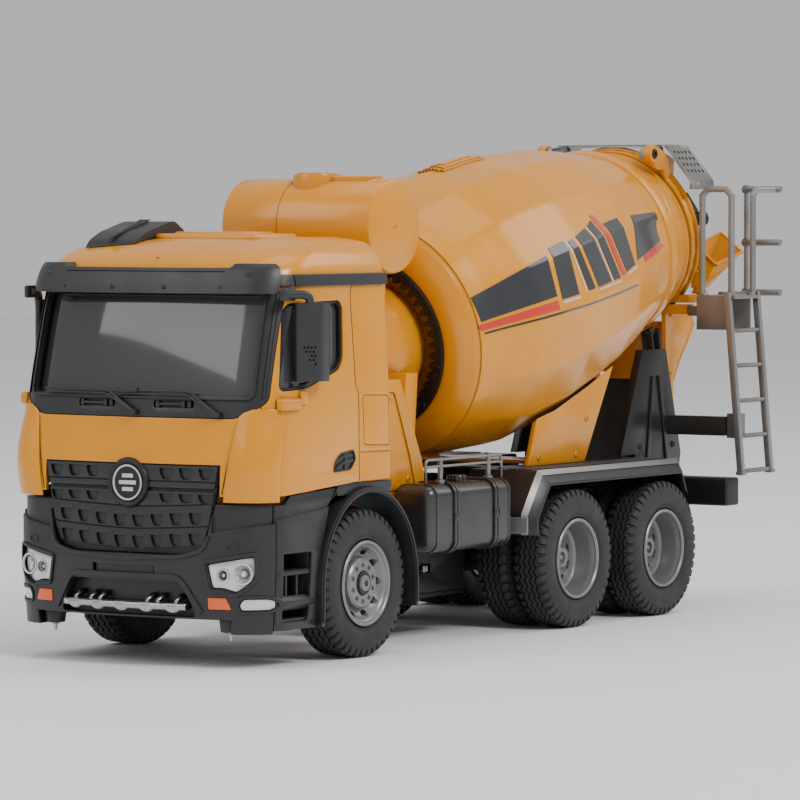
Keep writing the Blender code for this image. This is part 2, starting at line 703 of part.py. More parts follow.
def bogie_housing():
    """Gearbox and axle tubes of both driven axles, with the bogie springs above."""
    front, rear = REAR_AXLE_YS
    housing = rounded_box((-15, 15), (front - 14, rear + 14), (30, 51), 3.0, 1)
    for y in REAR_AXLE_YS:
        join(housing, cylinder((-38.6, y, WHEEL_R), (38.6, y, WHEEL_R), 6.0, 16))
    middle = (front + rear) / 2
    for side in (-1, 1):
        spring = arc((middle, -42.0), (100, 100.0), 123, 57, 6)
        spring += arc((middle, -46.2), (100, 100.0), 57, 123, 6)
        join(housing, plate(spring, sorted((side * 24.5, side * 31.5)), "x"))
        lo, hi = sorted((side * 25, side * 31))
        join(housing, box((lo, hi), (middle - 7, middle + 7), (50.0, RAIL_Z[0] - GAP)))
        for y in REAR_AXLE_YS:
            join(housing, box((lo, hi), (y - 4, y + 4), (36.0, 49.0)))
    motor = cylinder((0, front - 40, 41), (0, front - 10, 41), 9.5, 16)
    join(housing, motor)
    for y in REAR_AXLE_YS:
        cut(housing, cylinder((-45, y, WHEEL_R), (45, y, WHEEL_R), SHAFT_R + 0.4, 16))
    return housing


def steering_servo():
    servo = rounded_box((-11, 11), (-156, -128), (44, 59.7), 1.0, 1)
    return join(servo, cylinder((0, -150, 42.6), (0, -150, 46), 3.0, 16))


def battery_box():
    """The hollow tray under the rails, open at the bottom."""
    tray = box((-42, 42), (-98, -14), (24.6, 50.0))
    cut(tray, box((-39.5, 39.5), (-95.5, -16.5), (20.0, 47.5)))
    for x in (-28.0, 28.0):
        for y in (-88.0, -24.0):
            join(tray, box((x - 3, x + 3), (y - 3, y + 3), (49.0, RAIL_Z[0] - GAP)))
    cut(tray, box((38.0, 44.0), (-63.0, -49.0), (36.0, 41.0)))
    return tray


def battery_door():
    return box((-42, 42), (-98, -14), (22.0, 24.3))


def battery_pack():
    pack = cylinder((-30.0, -56, 35.6), (30.0, -56, 35.6), 10.2, 16)
    for y in (-76.0, -36.0):
        join(pack, cylinder((-30.0, y, 35.6), (30.0, y, 35.6), 10.4, 16))
    return join(pack, box((-29, 29), (-80, -32), (26.2, 32.0)))


def power_switch():
    """A slider in the slot on the left of the battery tray."""
    knob = box((40.2, 44.0), (-59.5, -55.5), (36.6, 40.4))
    guide = box((37.0, 39.2), (-60.5, -54.5), (34.8, 42.2))
    neck = box((38.6, 41.0), (-59.0, -56.0), (37.0, 40.0))
    return join(knob, guide, neck)


# ---------------------------------------------------------------- tanks, deck and rear bars

def fuel_tank():
    """The left tank with two straps."""
    tank = rounded_box((52.0, 79.0), (-105.0, -18.0), (51.0, 89.0), 6.0, 3)
    for y in (-80.0, -38.0):
        join(tank, rounded_box((51.9, 80.2), (y - 2.6, y + 2.6), (50.0, 90.2), 2.4, 1))
    return tank


def tool_box():
    """The right-hand locker, opposite the tank."""
    return rounded_box((-79.0, -52.0), (-105.0, -18.0), (51.0, 86.0), 2.0, 1)


def offset_path(path, depth):
    """A side-view path moved inward by depth, with mitred corners."""
    moved = []
    for i, point in enumerate(path):
        before = Vector(point) - Vector(path[i - 1]) if i else None
        after = Vector(path[i + 1]) - Vector(point) if i < len(path) - 1 else None
        normals = [Vector((d.y, -d.x)).normalized() for d in (before, after) if d is not None]
        middle = sum(normals, Vector((0, 0))).normalized()
        moved.append(Vector(point) + middle * depth / middle.dot(normals[0]))
    return moved


def deck_side():
    """The left deck over the rear tyres: flat top, sloped ends and a bevelled outer edge."""
    path = [(-11.6, 56.0), (-11.6, 68.0), (5.7, DECK_Z), (165.0, DECK_Z), (180.0, 61.0)]
    section = [(34.0, 0.0), (79.5, 0.0), (86.0, 6.5), (86.0, 8.3), (84.3, 8.3), (84.3, 7.2), (78.8, 2.0),
               (34.0, 2.0)]
    moved = {depth: offset_path(path, depth) for _, depth in section}
    rings = []
    for i in range(len(path)):
        rings.append([(x, moved[depth][i].x, moved[depth][i].y) for x, depth in section])
    return loft(rings)


def rear_deck():
    deck = deck_side()
    join(deck, mirrored(deck))
    for y in (40.0, 120.0):
        join(deck, box((-36, 36), (y - 6, y + 6), (DECK_Z - 2.2, DECK_Z - 0.4)))
    for y in REAR_AXLE_YS:
        cut(deck, cylinder((-90, y, WHEEL_R), (90, y, WHEEL_R), WHEEL_R + 1.5, 40))
    return deck


def underrun_bar():
    return rounded_box((-85.5, 85.5), (216.0, 231.5), (61.0, 78.0), 1.0, 1)


def on_drum_axis(s, side=0.0, lift=0.0):
    """A point at s along the drum's axis, moved sideways and square to the axis."""
    direction = Vector((0, math.cos(DRUM_TILT), math.sin(DRUM_TILT)))
    upward = Vector((0, -math.sin(DRUM_TILT), math.cos(DRUM_TILT)))
    return DRUM_ORIGIN + direction * s + upward * lift + Vector((side, 0, 0))


def drum_matrix():
    """Local z to the drum's axis."""
    return Matrix.Translation(DRUM_ORIGIN) @ Matrix.Rotation(DRUM_TILT - math.pi / 2, 4, "X")


def drum_envelope(clearance):
    """The drum's outer form grown by a clearance, for cutting what stands under it."""
    points = [(-40.0, 0.0), (-40.0, 53.0 + clearance)] + [(s, r + clearance) for s, r in DRUM_PROFILE]
    points += [(TRACK_S[0] - 1.0, TRACK_R + clearance), (TRACK_S[1] + 1.0, TRACK_R + clearance)]
    points += [(MOUTH_S + 2.0, MOUTH_R + 5.0 + clearance), (MOUTH_S + 2.0, 0.0)]
    return turned(points, 48, drum_matrix())


def drum_brace():
    """Yellow side plates under the drum, tied by a cross-plate."""
    outline = [(38.0, DECK_Z + GAP), (102.0, DECK_Z + GAP), (136.0, 150.0), (60.0, 150.0)]
    brace = plate(outline, (50.0, 53.0), "x")
    join(brace, plate(outline, (-53.0, -50.0), "x"))
    join(brace, box((-52, 52), (60.0, 90.0), (DECK_Z + GAP, DECK_Z + 2.6)))
    return cut(brace, drum_envelope(1.2))


def rear_pedestal():
    """Dark A-frame behind the drum's bulge, its roller forks and the bar to the ladder."""
    outline = [(167.0, DECK_Z + 0.6), (184.0, DECK_Z + 0.6), (184.0, RAIL_Z[1] + GAP), (237.0, RAIL_Z[1] + GAP),
               (239.5, DECK_Z), (221.0, 156.0), (193.0, 156.0)]
    part = plate(outline, (34.5, 39.5), "x")
    join(part, plate(outline, (-39.5, -34.5), "x"))
    join(part, box((-36, 36), (198.0, 202.0), (RAIL_Z[1] + GAP, 138.0)))
    join(part, box((-36, 36), (186.0, 236.0), (RAIL_Z[1] + GAP, RAIL_Z[1] + 3.0)))
    join(part, box((38.0, 79.0), (224.0, 231.5), (103.4, 115.0)))
    cut(part, drum_envelope(1.2))
    for side in (-1, 1):
        radius = TRACK_R + ROLLER_GAP + ROLLER_R
        x, lift = side * radius * math.sin(ROLLER_ANGLE), -radius * math.cos(ROLLER_ANGLE)
        for s in (225.4, 233.8):
            fork = box((x - 3.6, x + 3.6), (-lift - 1.2, -lift + 17.0), (s, s + 2.0))
            join(part, transform(fork, drum_matrix()))
        start, end = on_drum_axis(224.0, x, lift), on_drum_axis(237.0, x, lift)
        join(part, cylinder(start, end, 1.3, 12))
    return part


def roller(side):
    radius = TRACK_R + ROLLER_GAP + ROLLER_R
    x, lift = side * radius * math.sin(ROLLER_ANGLE), -radius * math.cos(ROLLER_ANGLE)
    return turned([(-2.6, 1.6), (2.6, 1.6), (2.6, ROLLER_R), (-2.6, ROLLER_R)], 20,
                  Matrix.Translation(on_drum_axis(230.6, x, lift) - DRUM_ORIGIN) @ drum_matrix())


def front_pedestal():
    """Yellow frame behind the cab: cheeks, gear housing and the uprights of the water tank."""
    base_z = RAIL_Z[1] + GAP
    cheek = [(-134.0, base_z), (-62.0, base_z), (-70.0, 102.0), (-92.0, 147.0), (-134.0, 147.0)]
    part = plate(cheek, (46.0, 49.5), "x")
    join(part, plate(cheek, (-49.5, -46.0), "x"))
    join(part, box((-47, 47), (-130.0, -72.0), (base_z, 84.0)))
    join(part, plate([(-88.0, 82.0), (-76.0, 82.0), (-70.0, 150.0), (-82.0, 150.0)], (-47.0, 47.0), "x"))
    for side in (-1, 1):
        lo, hi = sorted((side * 42.0, side * 47.5))
        join(part, box((lo, hi), (-112.0, -104.0), (130.0, 222.0)))
    housing = turned([(-56.0, 0.0), (-56.0, 34.0), (-30.0, 38.0), (-27.0, 38.0), (-17.0, 35.5), (-17.0, 5.6),
                      (-42.0, 5.6), (-42.0, 0.0)], 32, drum_matrix())
    join(part, housing)
    pinion_x = -(RING_TEETH - PINION_TEETH) * GEAR_MODULE / 2
    cut(part, cylinder(on_drum_axis(-34.0, pinion_x), on_drum_axis(-10.0, pinion_x), 12.6, 24))
    cut(part, cylinder(on_drum_axis(-60.0, pinion_x), on_drum_axis(-10.0, pinion_x), 2.0, 12))
    cut(part, cylinder((-60, -98.0, 232.5), (60, -98.0, 232.5), 26.5 + GAP, 32))
    return part


def water_tank():
    """Cross-wise cylinder with a round filler on top."""
    tank = turned([(-50.0, 0.0), (-50.0, 24.0), (-47.5, 26.5), (47.5, 26.5), (50.0, 24.0), (50.0, 0.0)], 32,
                  along_x((0, -98.0, 232.5)))
    join(tank, cylinder((0, -98.0, 252.0), (0, -98.0, 266.0), 14.0, 20))
    return join(tank, cylinder((0, -98.0, 264.0), (0, -98.0, 268.0), 12.0, 20))


# ---------------------------------------------------------------- drum and drive

def drum_shell():
    """The turned drum: stub shaft and front wall, shoulder, bulge, track ring and open mouth."""
    outer = [(s, r) for s, r in DRUM_PROFILE]
    outer += [(TRACK_S[0], TRACK_R), (TRACK_S[1], TRACK_R), (TRACK_S[1], 57.5), (MOUTH_S, MOUTH_R)]
    inner = [(MOUTH_S, MOUTH_R - 4.0), (TRACK_S[1], 54.0)]
    inner += [(s, r - DRUM_WALL) for s, r in reversed(DRUM_PROFILE[2:-1])]
    inner += [(-9.0, 60.0), (-9.0, 0.0)]
    front = [(-36.0, 0.0), (-36.0, 5.0), (-12.0, 5.0), (-12.0, RING_GEAR_OUT + GAP),
             (-23.5, RING_GEAR_OUT + GAP)]
    return turned(front + outer + inner, 36, drum_matrix())


def gear_outline(teeth, root, tip, phase=0.0):
    """A gear's rim: four points to a tooth, between the root and tip radii."""
    points = []
    pitch = 2 * math.pi / teeth
    for i in range(teeth):
        for share, radius in ((-0.32, root), (-0.12, tip), (0.12, tip), (0.32, root)):
            angle = (i + share + phase) * pitch
            points.append((radius * math.cos(angle), radius * math.sin(angle)))
    return points


def ring_gear():
    """Internal gear on the drum's front."""
    ring = turned([(RING_GEAR_S[0], 30.0), (RING_GEAR_S[1], 30.0), (RING_GEAR_S[1], RING_GEAR_OUT),
                   (RING_GEAR_S[0], RING_GEAR_OUT)], 48, Matrix())
    pitch_r = RING_TEETH * GEAR_MODULE / 2
    hole = plate(gear_outline(RING_TEETH, pitch_r - 1.8, pitch_r + 2.2, 0.5), (-40, 0), "z")
    cut(ring, hole)
    return transform(ring, drum_matrix())


def drum_pinion():
    """Ten-tooth pinion inside the ring, on its own shaft from the motor."""
    pitch_r = PINION_TEETH * GEAR_MODULE / 2
    gear = plate(gear_outline(PINION_TEETH, pitch_r - 2.4, pitch_r + 1.5), (-25.0, -17.5), "z")
    join(gear, cylinder((0, 0, -59.0), (0, 0, -18.0), 1.7, 12))
    offset = -(RING_TEETH - PINION_TEETH) * GEAR_MODULE / 2
    return transform(gear, drum_matrix() @ Matrix.Translation((offset, 0, 0)))


def drum_motor():
    """Motor can ahead of the gear housing."""
    offset = -(RING_TEETH - PINION_TEETH) * GEAR_MODULE / 2
    can = turned([(-75.0, 0.0), (-75.0, 9.0), (-73.0, 11.0), (-61.0, 11.0), (-61.0, 2.2), (-64.0, 2.2),
                  (-64.0, 0.0)], 24, drum_matrix())
    return transform(can, Matrix.Translation((offset + 1.5, 0, 0)))


# ---------------------------------------------------------------- rear platform and hopper

def leaning_rail(y):
    """One ladder side rail: a square bar leaning outward to its foot."""
    top, foot = LADDER_TOP_X, LADDER_FOOT_X
    outline = [(foot - 2.0, LADDER_Z[0]), (foot + 1.8, LADDER_Z[0]), (top + 1.8, LADDER_Z[1] + 2),
               (top - 2.0, LADDER_Z[1] + 2)]
    return plate(outline, (y - 1.8, y + 1.8), "y")


def ladder():
    """Two leaning rails with five rungs, and the lug that meets the bar."""
    part = join(leaning_rail(LADDER_Y[0]), leaning_rail(LADDER_Y[1]))
    for i in range(5):
        z = 82.0 + i * 21.4
        share = (z - LADDER_Z[0]) / (LADDER_Z[1] + 2 - LADDER_Z[0])
        x = LADDER_FOOT_X + (LADDER_TOP_X - LADDER_FOOT_X) * share
        join(part, cylinder((x, LADDER_Y[0], z), (x, LADDER_Y[1], z), 1.1, 10))
    join(part, box((79.4, 88.0), (LADDER_Y[0] + 0.5, LADDER_Y[0] + 8), (102.0, 117.0)))
    return part


def platform():
    """Skirted platform with a handrail in front and a guard behind."""
    y_front, y_back = LADDER_Y[0] + 2.2, LADDER_Y[1] - 2.2
    deck = box(PLATFORM_X, (y_front, y_back), PLATFORM_Z)
    floor = PLATFORM_Z[1] - 2.0
    cut(deck, box((PLATFORM_X[0] + 2, 77.7), (y_front + 2, y_back - 2), (PLATFORM_Z[0] - 5, floor)))
    cut(deck, box((77.5, 90.0), (200, 300), (160.0, floor)))
    x_in, x_out = PLATFORM_X[0] + 2.6, LADDER_TOP_X
    base, bend = floor + 0.9, 4.0
    y_front, y_back = y_front + 2.4, y_back - 2.4
    front = tube([(x_in, y_front, base), (x_in, y_front, RAIL_TOP_Z - bend),
                  (x_in + bend, y_front, RAIL_TOP_Z), (x_out - bend, y_front, RAIL_TOP_Z),
                  (x_out, y_front, RAIL_TOP_Z - bend), (x_out, y_front, base)], 2.0)
    side = tube([(x_out, y_back, base), (x_out, y_back, RAIL_TOP_Z - bend),
                 (x_out, y_back + bend, RAIL_TOP_Z), (x_out, GUARD_Y, RAIL_TOP_Z)], 2.0)
    join(deck, front, side)
    join(deck, box((x_in - 1.7, x_in + 1.7), (y_back - 4, GUARD_Y - 0.2), (floor + 0.4, floor + 3.8)))
    join(deck, cylinder((x_in, GUARD_Y, floor + 0.6), (x_in, GUARD_Y, RAIL_TOP_Z + 0.6), 1.6, 12))
    for z in (floor + 3.0, 221.0, RAIL_TOP_Z):
        join(deck, cylinder((x_in - 2.4, GUARD_Y, z), (LADDER_TOP_X + 4, GUARD_Y, z), 2.2, 10))
    return join(deck, box((44.0, PLATFORM_X[0] + 1.0), (240.0, 246.0), (176.0, 182.0)))


def hopper_frame():
    """Yellow ring behind the drum's mouth, its legs, the hood lugs and the chute bracket."""
    ring = turned([(ARCH_S[0], ARCH_R[0]), (ARCH_S[1], ARCH_R[0]), (ARCH_S[1], ARCH_R[1]),
                   (ARCH_S[0], ARCH_R[1])], 32, drum_matrix())
    for side in (-1, 1):
        leg = plate([(241.0, RAIL_Z[1] + 3.4), (250.0, RAIL_Z[1] + 3.4), (251.0, 192.0), (240.5, 192.0)],
                    sorted((side * 25.0, side * 28.0)), "x")
        cut(leg, turned([(240.0, 0.0), (240.0, 51.0), (280.0, 51.0), (280.0, 0.0)], 32, drum_matrix()))
        join(ring, leg)
        lug = cylinder((side * 35.5, *HOOD_PIVOT), (side * 40.0, *HOOD_PIVOT), 5.5, 20)
        arm = plate([(203.0, 271.0), (207.0, 281.0), (231.0, 272.0), (229.0, 258.0), (221.0, 258.0)],
                    sorted((side * 36.0, side * 39.5)), "x")
        join(ring, arm, lug)
    join(ring, box((-28, 28), (236.8, 250.0), (RAIL_Z[1] + 3.4, RAIL_Z[1] + 6.0)))
    cut(ring, drum_envelope(1.0))
    x, y = CHUTE_PIVOT
    join(ring, box((31.0, x + 3), (239.5, y), (184.0, 189.0)))
    join(ring, cylinder((x, y, 184.0), (x, y, 189.0), 4.4, 20))
    cut(ring, cylinder((x, y, 180.0), (x, y, 195.0), 2.1, 16))
    for side in (-1, 1):
        cut(ring, cylinder((side * 30.0, *HOOD_PIVOT), (side * 45.0, *HOOD_PIVOT), 1.9, 16))
    return join(ring, box((24.5, 43.7), (239.5, 248.0), (177.0, 183.0)))


def hopper_hood():
    """Silver cover over the ring: flat top with sloping sides, on two pivot pins."""
    section = [(-57.0, 254.0), (-57.0, 259.5), (-38.5, 281.4), (38.5, 281.4), (57.0, 259.5), (57.0, 254.0),
               (55.4, 254.0), (55.4, 259.0), (37.8, 279.8), (-37.8, 279.8), (-55.4, 259.0), (-55.4, 254.0)]
    hood = plate(section, (222.0, 249.0), "y")
    for side in (-1, 1):
        ear = plate([(201.0, 272.5), (203.0, 279.0), (224.0, 281.0), (226.0, 276.0), (209.0, 272.0)],
                    sorted((side * 31.6, side * 35.0)), "x")
        pin = cylinder((side * 32.0, *HOOD_PIVOT), (side * 39.6, *HOOD_PIVOT), 1.6, 16)
        join(hood, ear, pin)
    return hood


def discharge_trough():
    """Yellow spout that takes the load from the mouth down between the legs."""
    cheek = [(281.0, 178.0), (287.0, 170.0), (277.0, 157.0), (268.0, 147.0), (260.0, 133.0), (261.0, 115.5),
             (253.6, 114.5), (252.0, 135.0), (251.8, 165.0), (252.6, 176.0)]
    part = plate(cheek, (20.0, 22.0), "x")
    join(part, plate(cheek, (-22.0, -20.0), "x"))
    join(part, box((-21, 21), (252.2, 254.2), (115.0, 172.0)))
    return join(part, box((-24.8, 24.8), (252.4, 254.0), (140.0, 146.0)))


def chute():
    """Folding side chute: a tilted funnel on a swivel pin."""
    rim = [(39.5, 259.0, 219.0), (54.0, 257.0, 207.5), (62.0, 276.0, 215.0), (45.0, 279.5, 227.0)]
    foot = [(38.0, 254.0, 193.0), (46.0, 254.0, 193.0), (46.0, 262.0, 193.0), (38.0, 262.0, 193.0)]
    funnel = loft([foot, rim])
    shrunk = []
    for ring, share in ((foot, 0.55), (rim, 0.88)):
        middle = sum((Vector(p) for p in ring), Vector()) / 4
        shrunk.append([tuple(middle + (Vector(p) - middle) * share) for p in ring])
    rise = Vector((4.7, 7.5, 24.0)).normalized()
    shrunk[0] = [tuple(Vector(p) + rise * 4) for p in shrunk[0]]
    shrunk.append([tuple(Vector(p) + rise * 8) for p in shrunk[1]])
    shrunk[2] = [tuple(Vector(p) + (Vector(p) - Vector((50, 268, 217))) * 0.1) for p in shrunk[2]]
    cut(funnel, loft(shrunk))
    x, y = CHUTE_PIVOT
    join(funnel, cylinder((x, y, 189.4), (x, y, 194.5), 4.0, 20))
    return join(funnel, cylinder((x, y, 183.0), (x, y, 190.5), 1.7, 16))


def work_lamp():
    lamp = cylinder((42.0, 246.0, 236.0), (47.0, 256.0, 236.0), 4.2, 20)
    strap = plate([(240.0, 239.0), (250.0, 239.0), (250.0, 241.5), (237.0, 252.0), (235.0, 250.0)],
                  (43.0, 45.5), "x")
    return join(lamp, strap)


# ---------------------------------------------------------------- build

def build_static():
    shell = cab_shell()
    panel = corner_panel()
    twin = mirrored(panel)
    piece("cab_shell", join(shell, panel, twin), "yellow")
    piece("windshield_frame", windshield_frame(), "dark")
    piece("cab_glazing", cab_glazing(), "glass")
    piece("sun_visor", sun_visor(), "dark")
    piece("roof_intake", roof_intake(), "dark")
    left_mirror = mirror()
    piece("mirror_right", mirrored(left_mirror), "dark")
    piece("mirror_left", left_mirror, "dark")
    piece("front_bumper", front_bumper(), "dark")
    piece("grille", grille(), "dark")
    piece("headlight_left", headlight(1), "silver")
    piece("headlight_right", headlight(-1), "silver")
    piece("skid_plate", skid_plate(), "silver")
    left_fender = fender()
    piece("fender_right", mirrored(left_fender), "dark")
    piece("fender_left", left_fender, "dark")
    piece("chassis_frame", chassis_frame(), "black")
    piece("front_axle_beam", front_axle_beam(), "black")
    piece("bogie_housing", bogie_housing(), "black")
    piece("steering_servo", steering_servo(), "black")
    piece("battery_box", battery_box(), "black")
    piece("battery_door", battery_door(), "black")
    piece("battery_pack", battery_pack(), "green")
    piece("fuel_tank", fuel_tank(), "silver")
    piece("tool_box", tool_box(), "dark")
    piece("rear_deck", rear_deck(), "dark")
    piece("underrun_bar", underrun_bar(), "black")
    piece("drum_brace", drum_brace(), "yellow")
    piece("rear_pedestal", rear_pedestal(), "dark")
    piece("front_pedestal", front_pedestal(), "yellow")
    piece("water_tank", water_tank(), "yellow")
    piece("drum_motor", drum_motor(), "steel")
    piece("ladder", ladder(), "silver")
    piece("platform", platform(), "silver")
    piece("hopper_frame", hopper_frame(), "yellow")
    piece("discharge_trough", discharge_trough(), "yellow")
    piece("work_lamp", work_lamp(), "black")


def build_steering():
    for name, side in (("left", 1), ("right", -1)):
        steer = pivot_at(f"steer_{name}_axis", (side * KINGPIN_X, FRONT_AXLE_Y, WHEEL_R))
        piece(f"knuckle_{name}", knuckle(side), "black", steer)
        piece(f"front_rim_{name}", front_rim(side), "silver", steer)
        piece(f"front_tyre_{name}", front_tyre(side), "rubber", steer)
    rod_y = FRONT_AXLE_Y + TIE_ROD_REACH
    piece("tie_rod", tie_rod(), "steel", pivot_at("tie_rod_axis", (KINGPIN_X, rod_y, 38.4)))


def build_rear_wheels():
    for place, y in zip(("middle", "rear"), REAR_AXLE_YS):
        spin = pivot_at(f"{place}_axle_axis", (0, y, WHEEL_R))
        piece(f"{place}_axle", rear_axle(y), "steel", spin)
        for name, side in (("left", 1), ("right", -1)):
            piece(f"{place}_rim_{name}", rear_rim(side, y), "silver", spin)
            piece(f"{place}_tyre_{name}", rear_tyre(side, y), "rubber", spin)


def build_drum():
    spin = pivot_at("drum_axis", DRUM_ORIGIN)
    piece("drum_shell", drum_shell(), "yellow", spin)
    piece("ring_gear", ring_gear(), "black", spin)
    pinion_x = -(RING_TEETH - PINION_TEETH) * GEAR_MODULE / 2
    piece("drum_pinion", drum_pinion(), "dark", pivot_at("pinion_axis", on_drum_axis(-21.0, pinion_x)))
    radius = TRACK_R + ROLLER_GAP + ROLLER_R
    for name, side in (("left", 1), ("right", -1)):
        centre = on_drum_axis(230.6, side * radius * math.sin(ROLLER_ANGLE), -radius * math.cos(ROLLER_ANGLE))
        piece(f"roller_{name}", roller(side), "black", pivot_at(f"roller_{name}_axis", centre))


def build_small_movers():
    piece("hopper_hood", hopper_hood(), "silver", pivot_at("hood_axis", (0, *HOOD_PIVOT)))
    piece("chute", chute(), "yellow", pivot_at("chute_axis", (*CHUTE_PIVOT, 190.0)))
    piece("power_switch", power_switch(), "steel", pivot_at("switch_axis", (42.0, -57.5, 38.5)))


build_static()
build_steering()
build_rear_wheels()
build_drum()
build_small_movers()
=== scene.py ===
"""Looks of the toy cement mixer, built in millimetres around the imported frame.

Frame: +X is the truck's left, -Y its front, +Z up. MM turns millimetres into metres.
"""
import json
import math

import bpy
import bmesh
from mathutils import Matrix, Vector

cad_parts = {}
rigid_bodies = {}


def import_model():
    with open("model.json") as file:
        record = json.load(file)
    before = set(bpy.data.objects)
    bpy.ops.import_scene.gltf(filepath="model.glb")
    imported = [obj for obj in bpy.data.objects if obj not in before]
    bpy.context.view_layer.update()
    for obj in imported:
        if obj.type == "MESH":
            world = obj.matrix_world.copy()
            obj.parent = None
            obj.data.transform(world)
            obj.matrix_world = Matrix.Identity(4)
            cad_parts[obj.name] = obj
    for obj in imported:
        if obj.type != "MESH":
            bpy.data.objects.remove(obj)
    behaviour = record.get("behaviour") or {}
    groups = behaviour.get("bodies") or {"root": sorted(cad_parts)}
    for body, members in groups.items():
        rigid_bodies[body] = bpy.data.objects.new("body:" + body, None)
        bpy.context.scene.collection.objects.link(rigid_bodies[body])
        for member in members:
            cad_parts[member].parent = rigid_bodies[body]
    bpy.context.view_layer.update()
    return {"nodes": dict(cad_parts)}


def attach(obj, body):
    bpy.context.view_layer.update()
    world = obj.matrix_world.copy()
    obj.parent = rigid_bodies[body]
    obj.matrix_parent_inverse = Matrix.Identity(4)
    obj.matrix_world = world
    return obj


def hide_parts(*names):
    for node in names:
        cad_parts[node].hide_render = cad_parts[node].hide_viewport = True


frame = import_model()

MM = 0.001
for extra in [o for o in bpy.data.objects if o.name in ("Cube", "Light", "Camera")]:
    bpy.data.objects.remove(extra)

# Sizes that the looks share with the frame
WHEEL_R = 40.0
RIM_R = 23.4
FRONT_AXLE_Y = -178.0
REAR_AXLE_YS = {"middle": 41.0, "rear": 140.5}
DRUM_ORIGIN = Vector((0.0, -28.0, 170.3))
DRUM_TILT = math.radians(12.06)
CORNER_R = 24.0
CAB_SECTIONS = (                # height, half width, nose, back, and the bow of the nose
    (18.0, 84.0, -283.5, -153.0, 9.0),
    (57.0, 85.0, -285.5, -153.0, 9.0),
    (68.0, 85.0, -284.0, -153.0, 8.0),
    (86.6, 85.0, -281.5, -153.0, 6.0),
    (107.0, 85.0, -280.0, -153.0, 5.0),
    (131.5, 85.0, -277.0, -153.0, 5.5),
    (142.0, 84.6, -275.5, -153.5, 5.5),
    (198.0, 82.4, -263.0, -155.5, 6.0),
    (207.0, 82.0, -260.5, -156.0, 6.5),
    (214.0, 80.5, -255.5, -156.5, 6.5),
    (221.0, 76.5, -241.0, -158.0, 7.0),
    (225.5, 68.0, -222.0, -163.0, 8.0),
    (227.0, 56.0, -205.0, -170.0, 9.0),
)


# ---------------------------------------------------------------- mesh helpers, in mm

def from_bmesh(bm, scale=MM):
    """Make an object in metres from a bmesh in millimetres."""
    bmesh.ops.scale(bm, vec=(scale,) * 3, verts=bm.verts)
    bmesh.ops.recalc_face_normals(bm, faces=bm.faces)
    mesh = bpy.data.meshes.new("shape")
    bm.to_mesh(mesh)
    bm.free()
    obj = bpy.data.objects.new("shape", mesh)
    bpy.context.scene.collection.objects.link(obj)
    return obj


def bake(obj):
    """Apply an object's modifiers to its mesh."""
    depsgraph = bpy.context.evaluated_depsgraph_get()
    mesh = bpy.data.meshes.new_from_object(obj.evaluated_get(depsgraph))
    obj.modifiers.clear()
    obj.data = mesh
    return obj


def combine(base, tools, operation):
    """Boolean each tool into base and delete the tool."""
    for tool in tools:
        modifier = base.modifiers.new(operation, "BOOLEAN")
        modifier.operation = operation
        modifier.object = tool
        modifier.solver = "EXACT"
        bake(base)
        bpy.data.objects.remove(tool)
    return base


def cut(base, *tools):
    """Take the tools away from base."""
    return combine(base, tools, "DIFFERENCE")


def keep(base, *tools):
    """Keep only what base shares with every tool."""
    return combine(base, tools, "INTERSECT")


def group(base, *others):
    """Put several shapes in one mesh, each as it is."""
    bm = bmesh.new()
    for obj in (base, *others):
        bm.from_mesh(obj.data)
    bm.to_mesh(base.data)
    bm.free()
    for obj in others:
        bpy.data.objects.remove(obj)
    return base


def transform(obj, matrix):
    """Move a shape's mesh by a matrix whose translation is in millimetres."""
    scaled = matrix.copy()
    scaled.translation = matrix.translation * MM
    obj.data.transform(scaled)
    if matrix.determinant() < 0:
        obj.data.flip_normals()
    return obj


def copy_of(obj):
    """A separate copy of a shape."""
    twin = obj.copy()
    twin.data = obj.data.copy()
    bpy.context.scene.collection.objects.link(twin)
    return twin


def mirrored(obj):
    """A copy of a shape on the other side of the truck."""
    return transform(copy_of(obj), Matrix.Scale(-1, 4, (1, 0, 0)))


def bevelled(obj, width, segments=2, angle=30):
    """Round an object's sharp edges."""
    modifier = obj.modifiers.new("round", "BEVEL")
    modifier.width = width * MM
    modifier.segments = segments
    modifier.limit_method = "ANGLE"
    modifier.angle_limit = math.radians(angle)
    modifier.miter_outer = "MITER_ARC"
    return bake(obj)


def box(x, y, z, radius=0.0, segments=3):
    """A block between two values on each axis, with rounded edges if a radius is given."""
    bm = bmesh.new()
    bmesh.ops.create_cube(bm, size=1.0)
    bmesh.ops.scale(bm, vec=(abs(x[1] - x[0]), abs(y[1] - y[0]), abs(z[1] - z[0])), verts=bm.verts)
    bmesh.ops.translate(bm, vec=((x[0] + x[1]) / 2, (y[0] + y[1]) / 2, (z[0] + z[1]) / 2), verts=bm.verts)
    block = from_bmesh(bm)
    return bevelled(block, radius, segments) if radius else block


def turn_to(direction):
    """The turn that carries local z to a direction."""
    return Vector((0, 0, 1)).rotation_difference(Vector(direction)).to_matrix().to_4x4()


def cylinder(start, end, radius, segments=32, end_radius=None, round_edge=0.0):
    """A bar or cone between two points."""
    start, end = Vector(start), Vector(end)
    axis = end - start
    bm = bmesh.new()
    bmesh.ops.create_cone(bm, cap_ends=True, segments=segments, radius1=radius,
                          radius2=radius if end_radius is None else end_radius, depth=axis.length)
    place = Matrix.Translation((start + end) / 2) @ turn_to(axis)
    bmesh.ops.transform(bm, matrix=place, verts=bm.verts)
    bar = from_bmesh(bm)
    return bevelled(bar, round_edge, 2, 50) if round_edge else bar


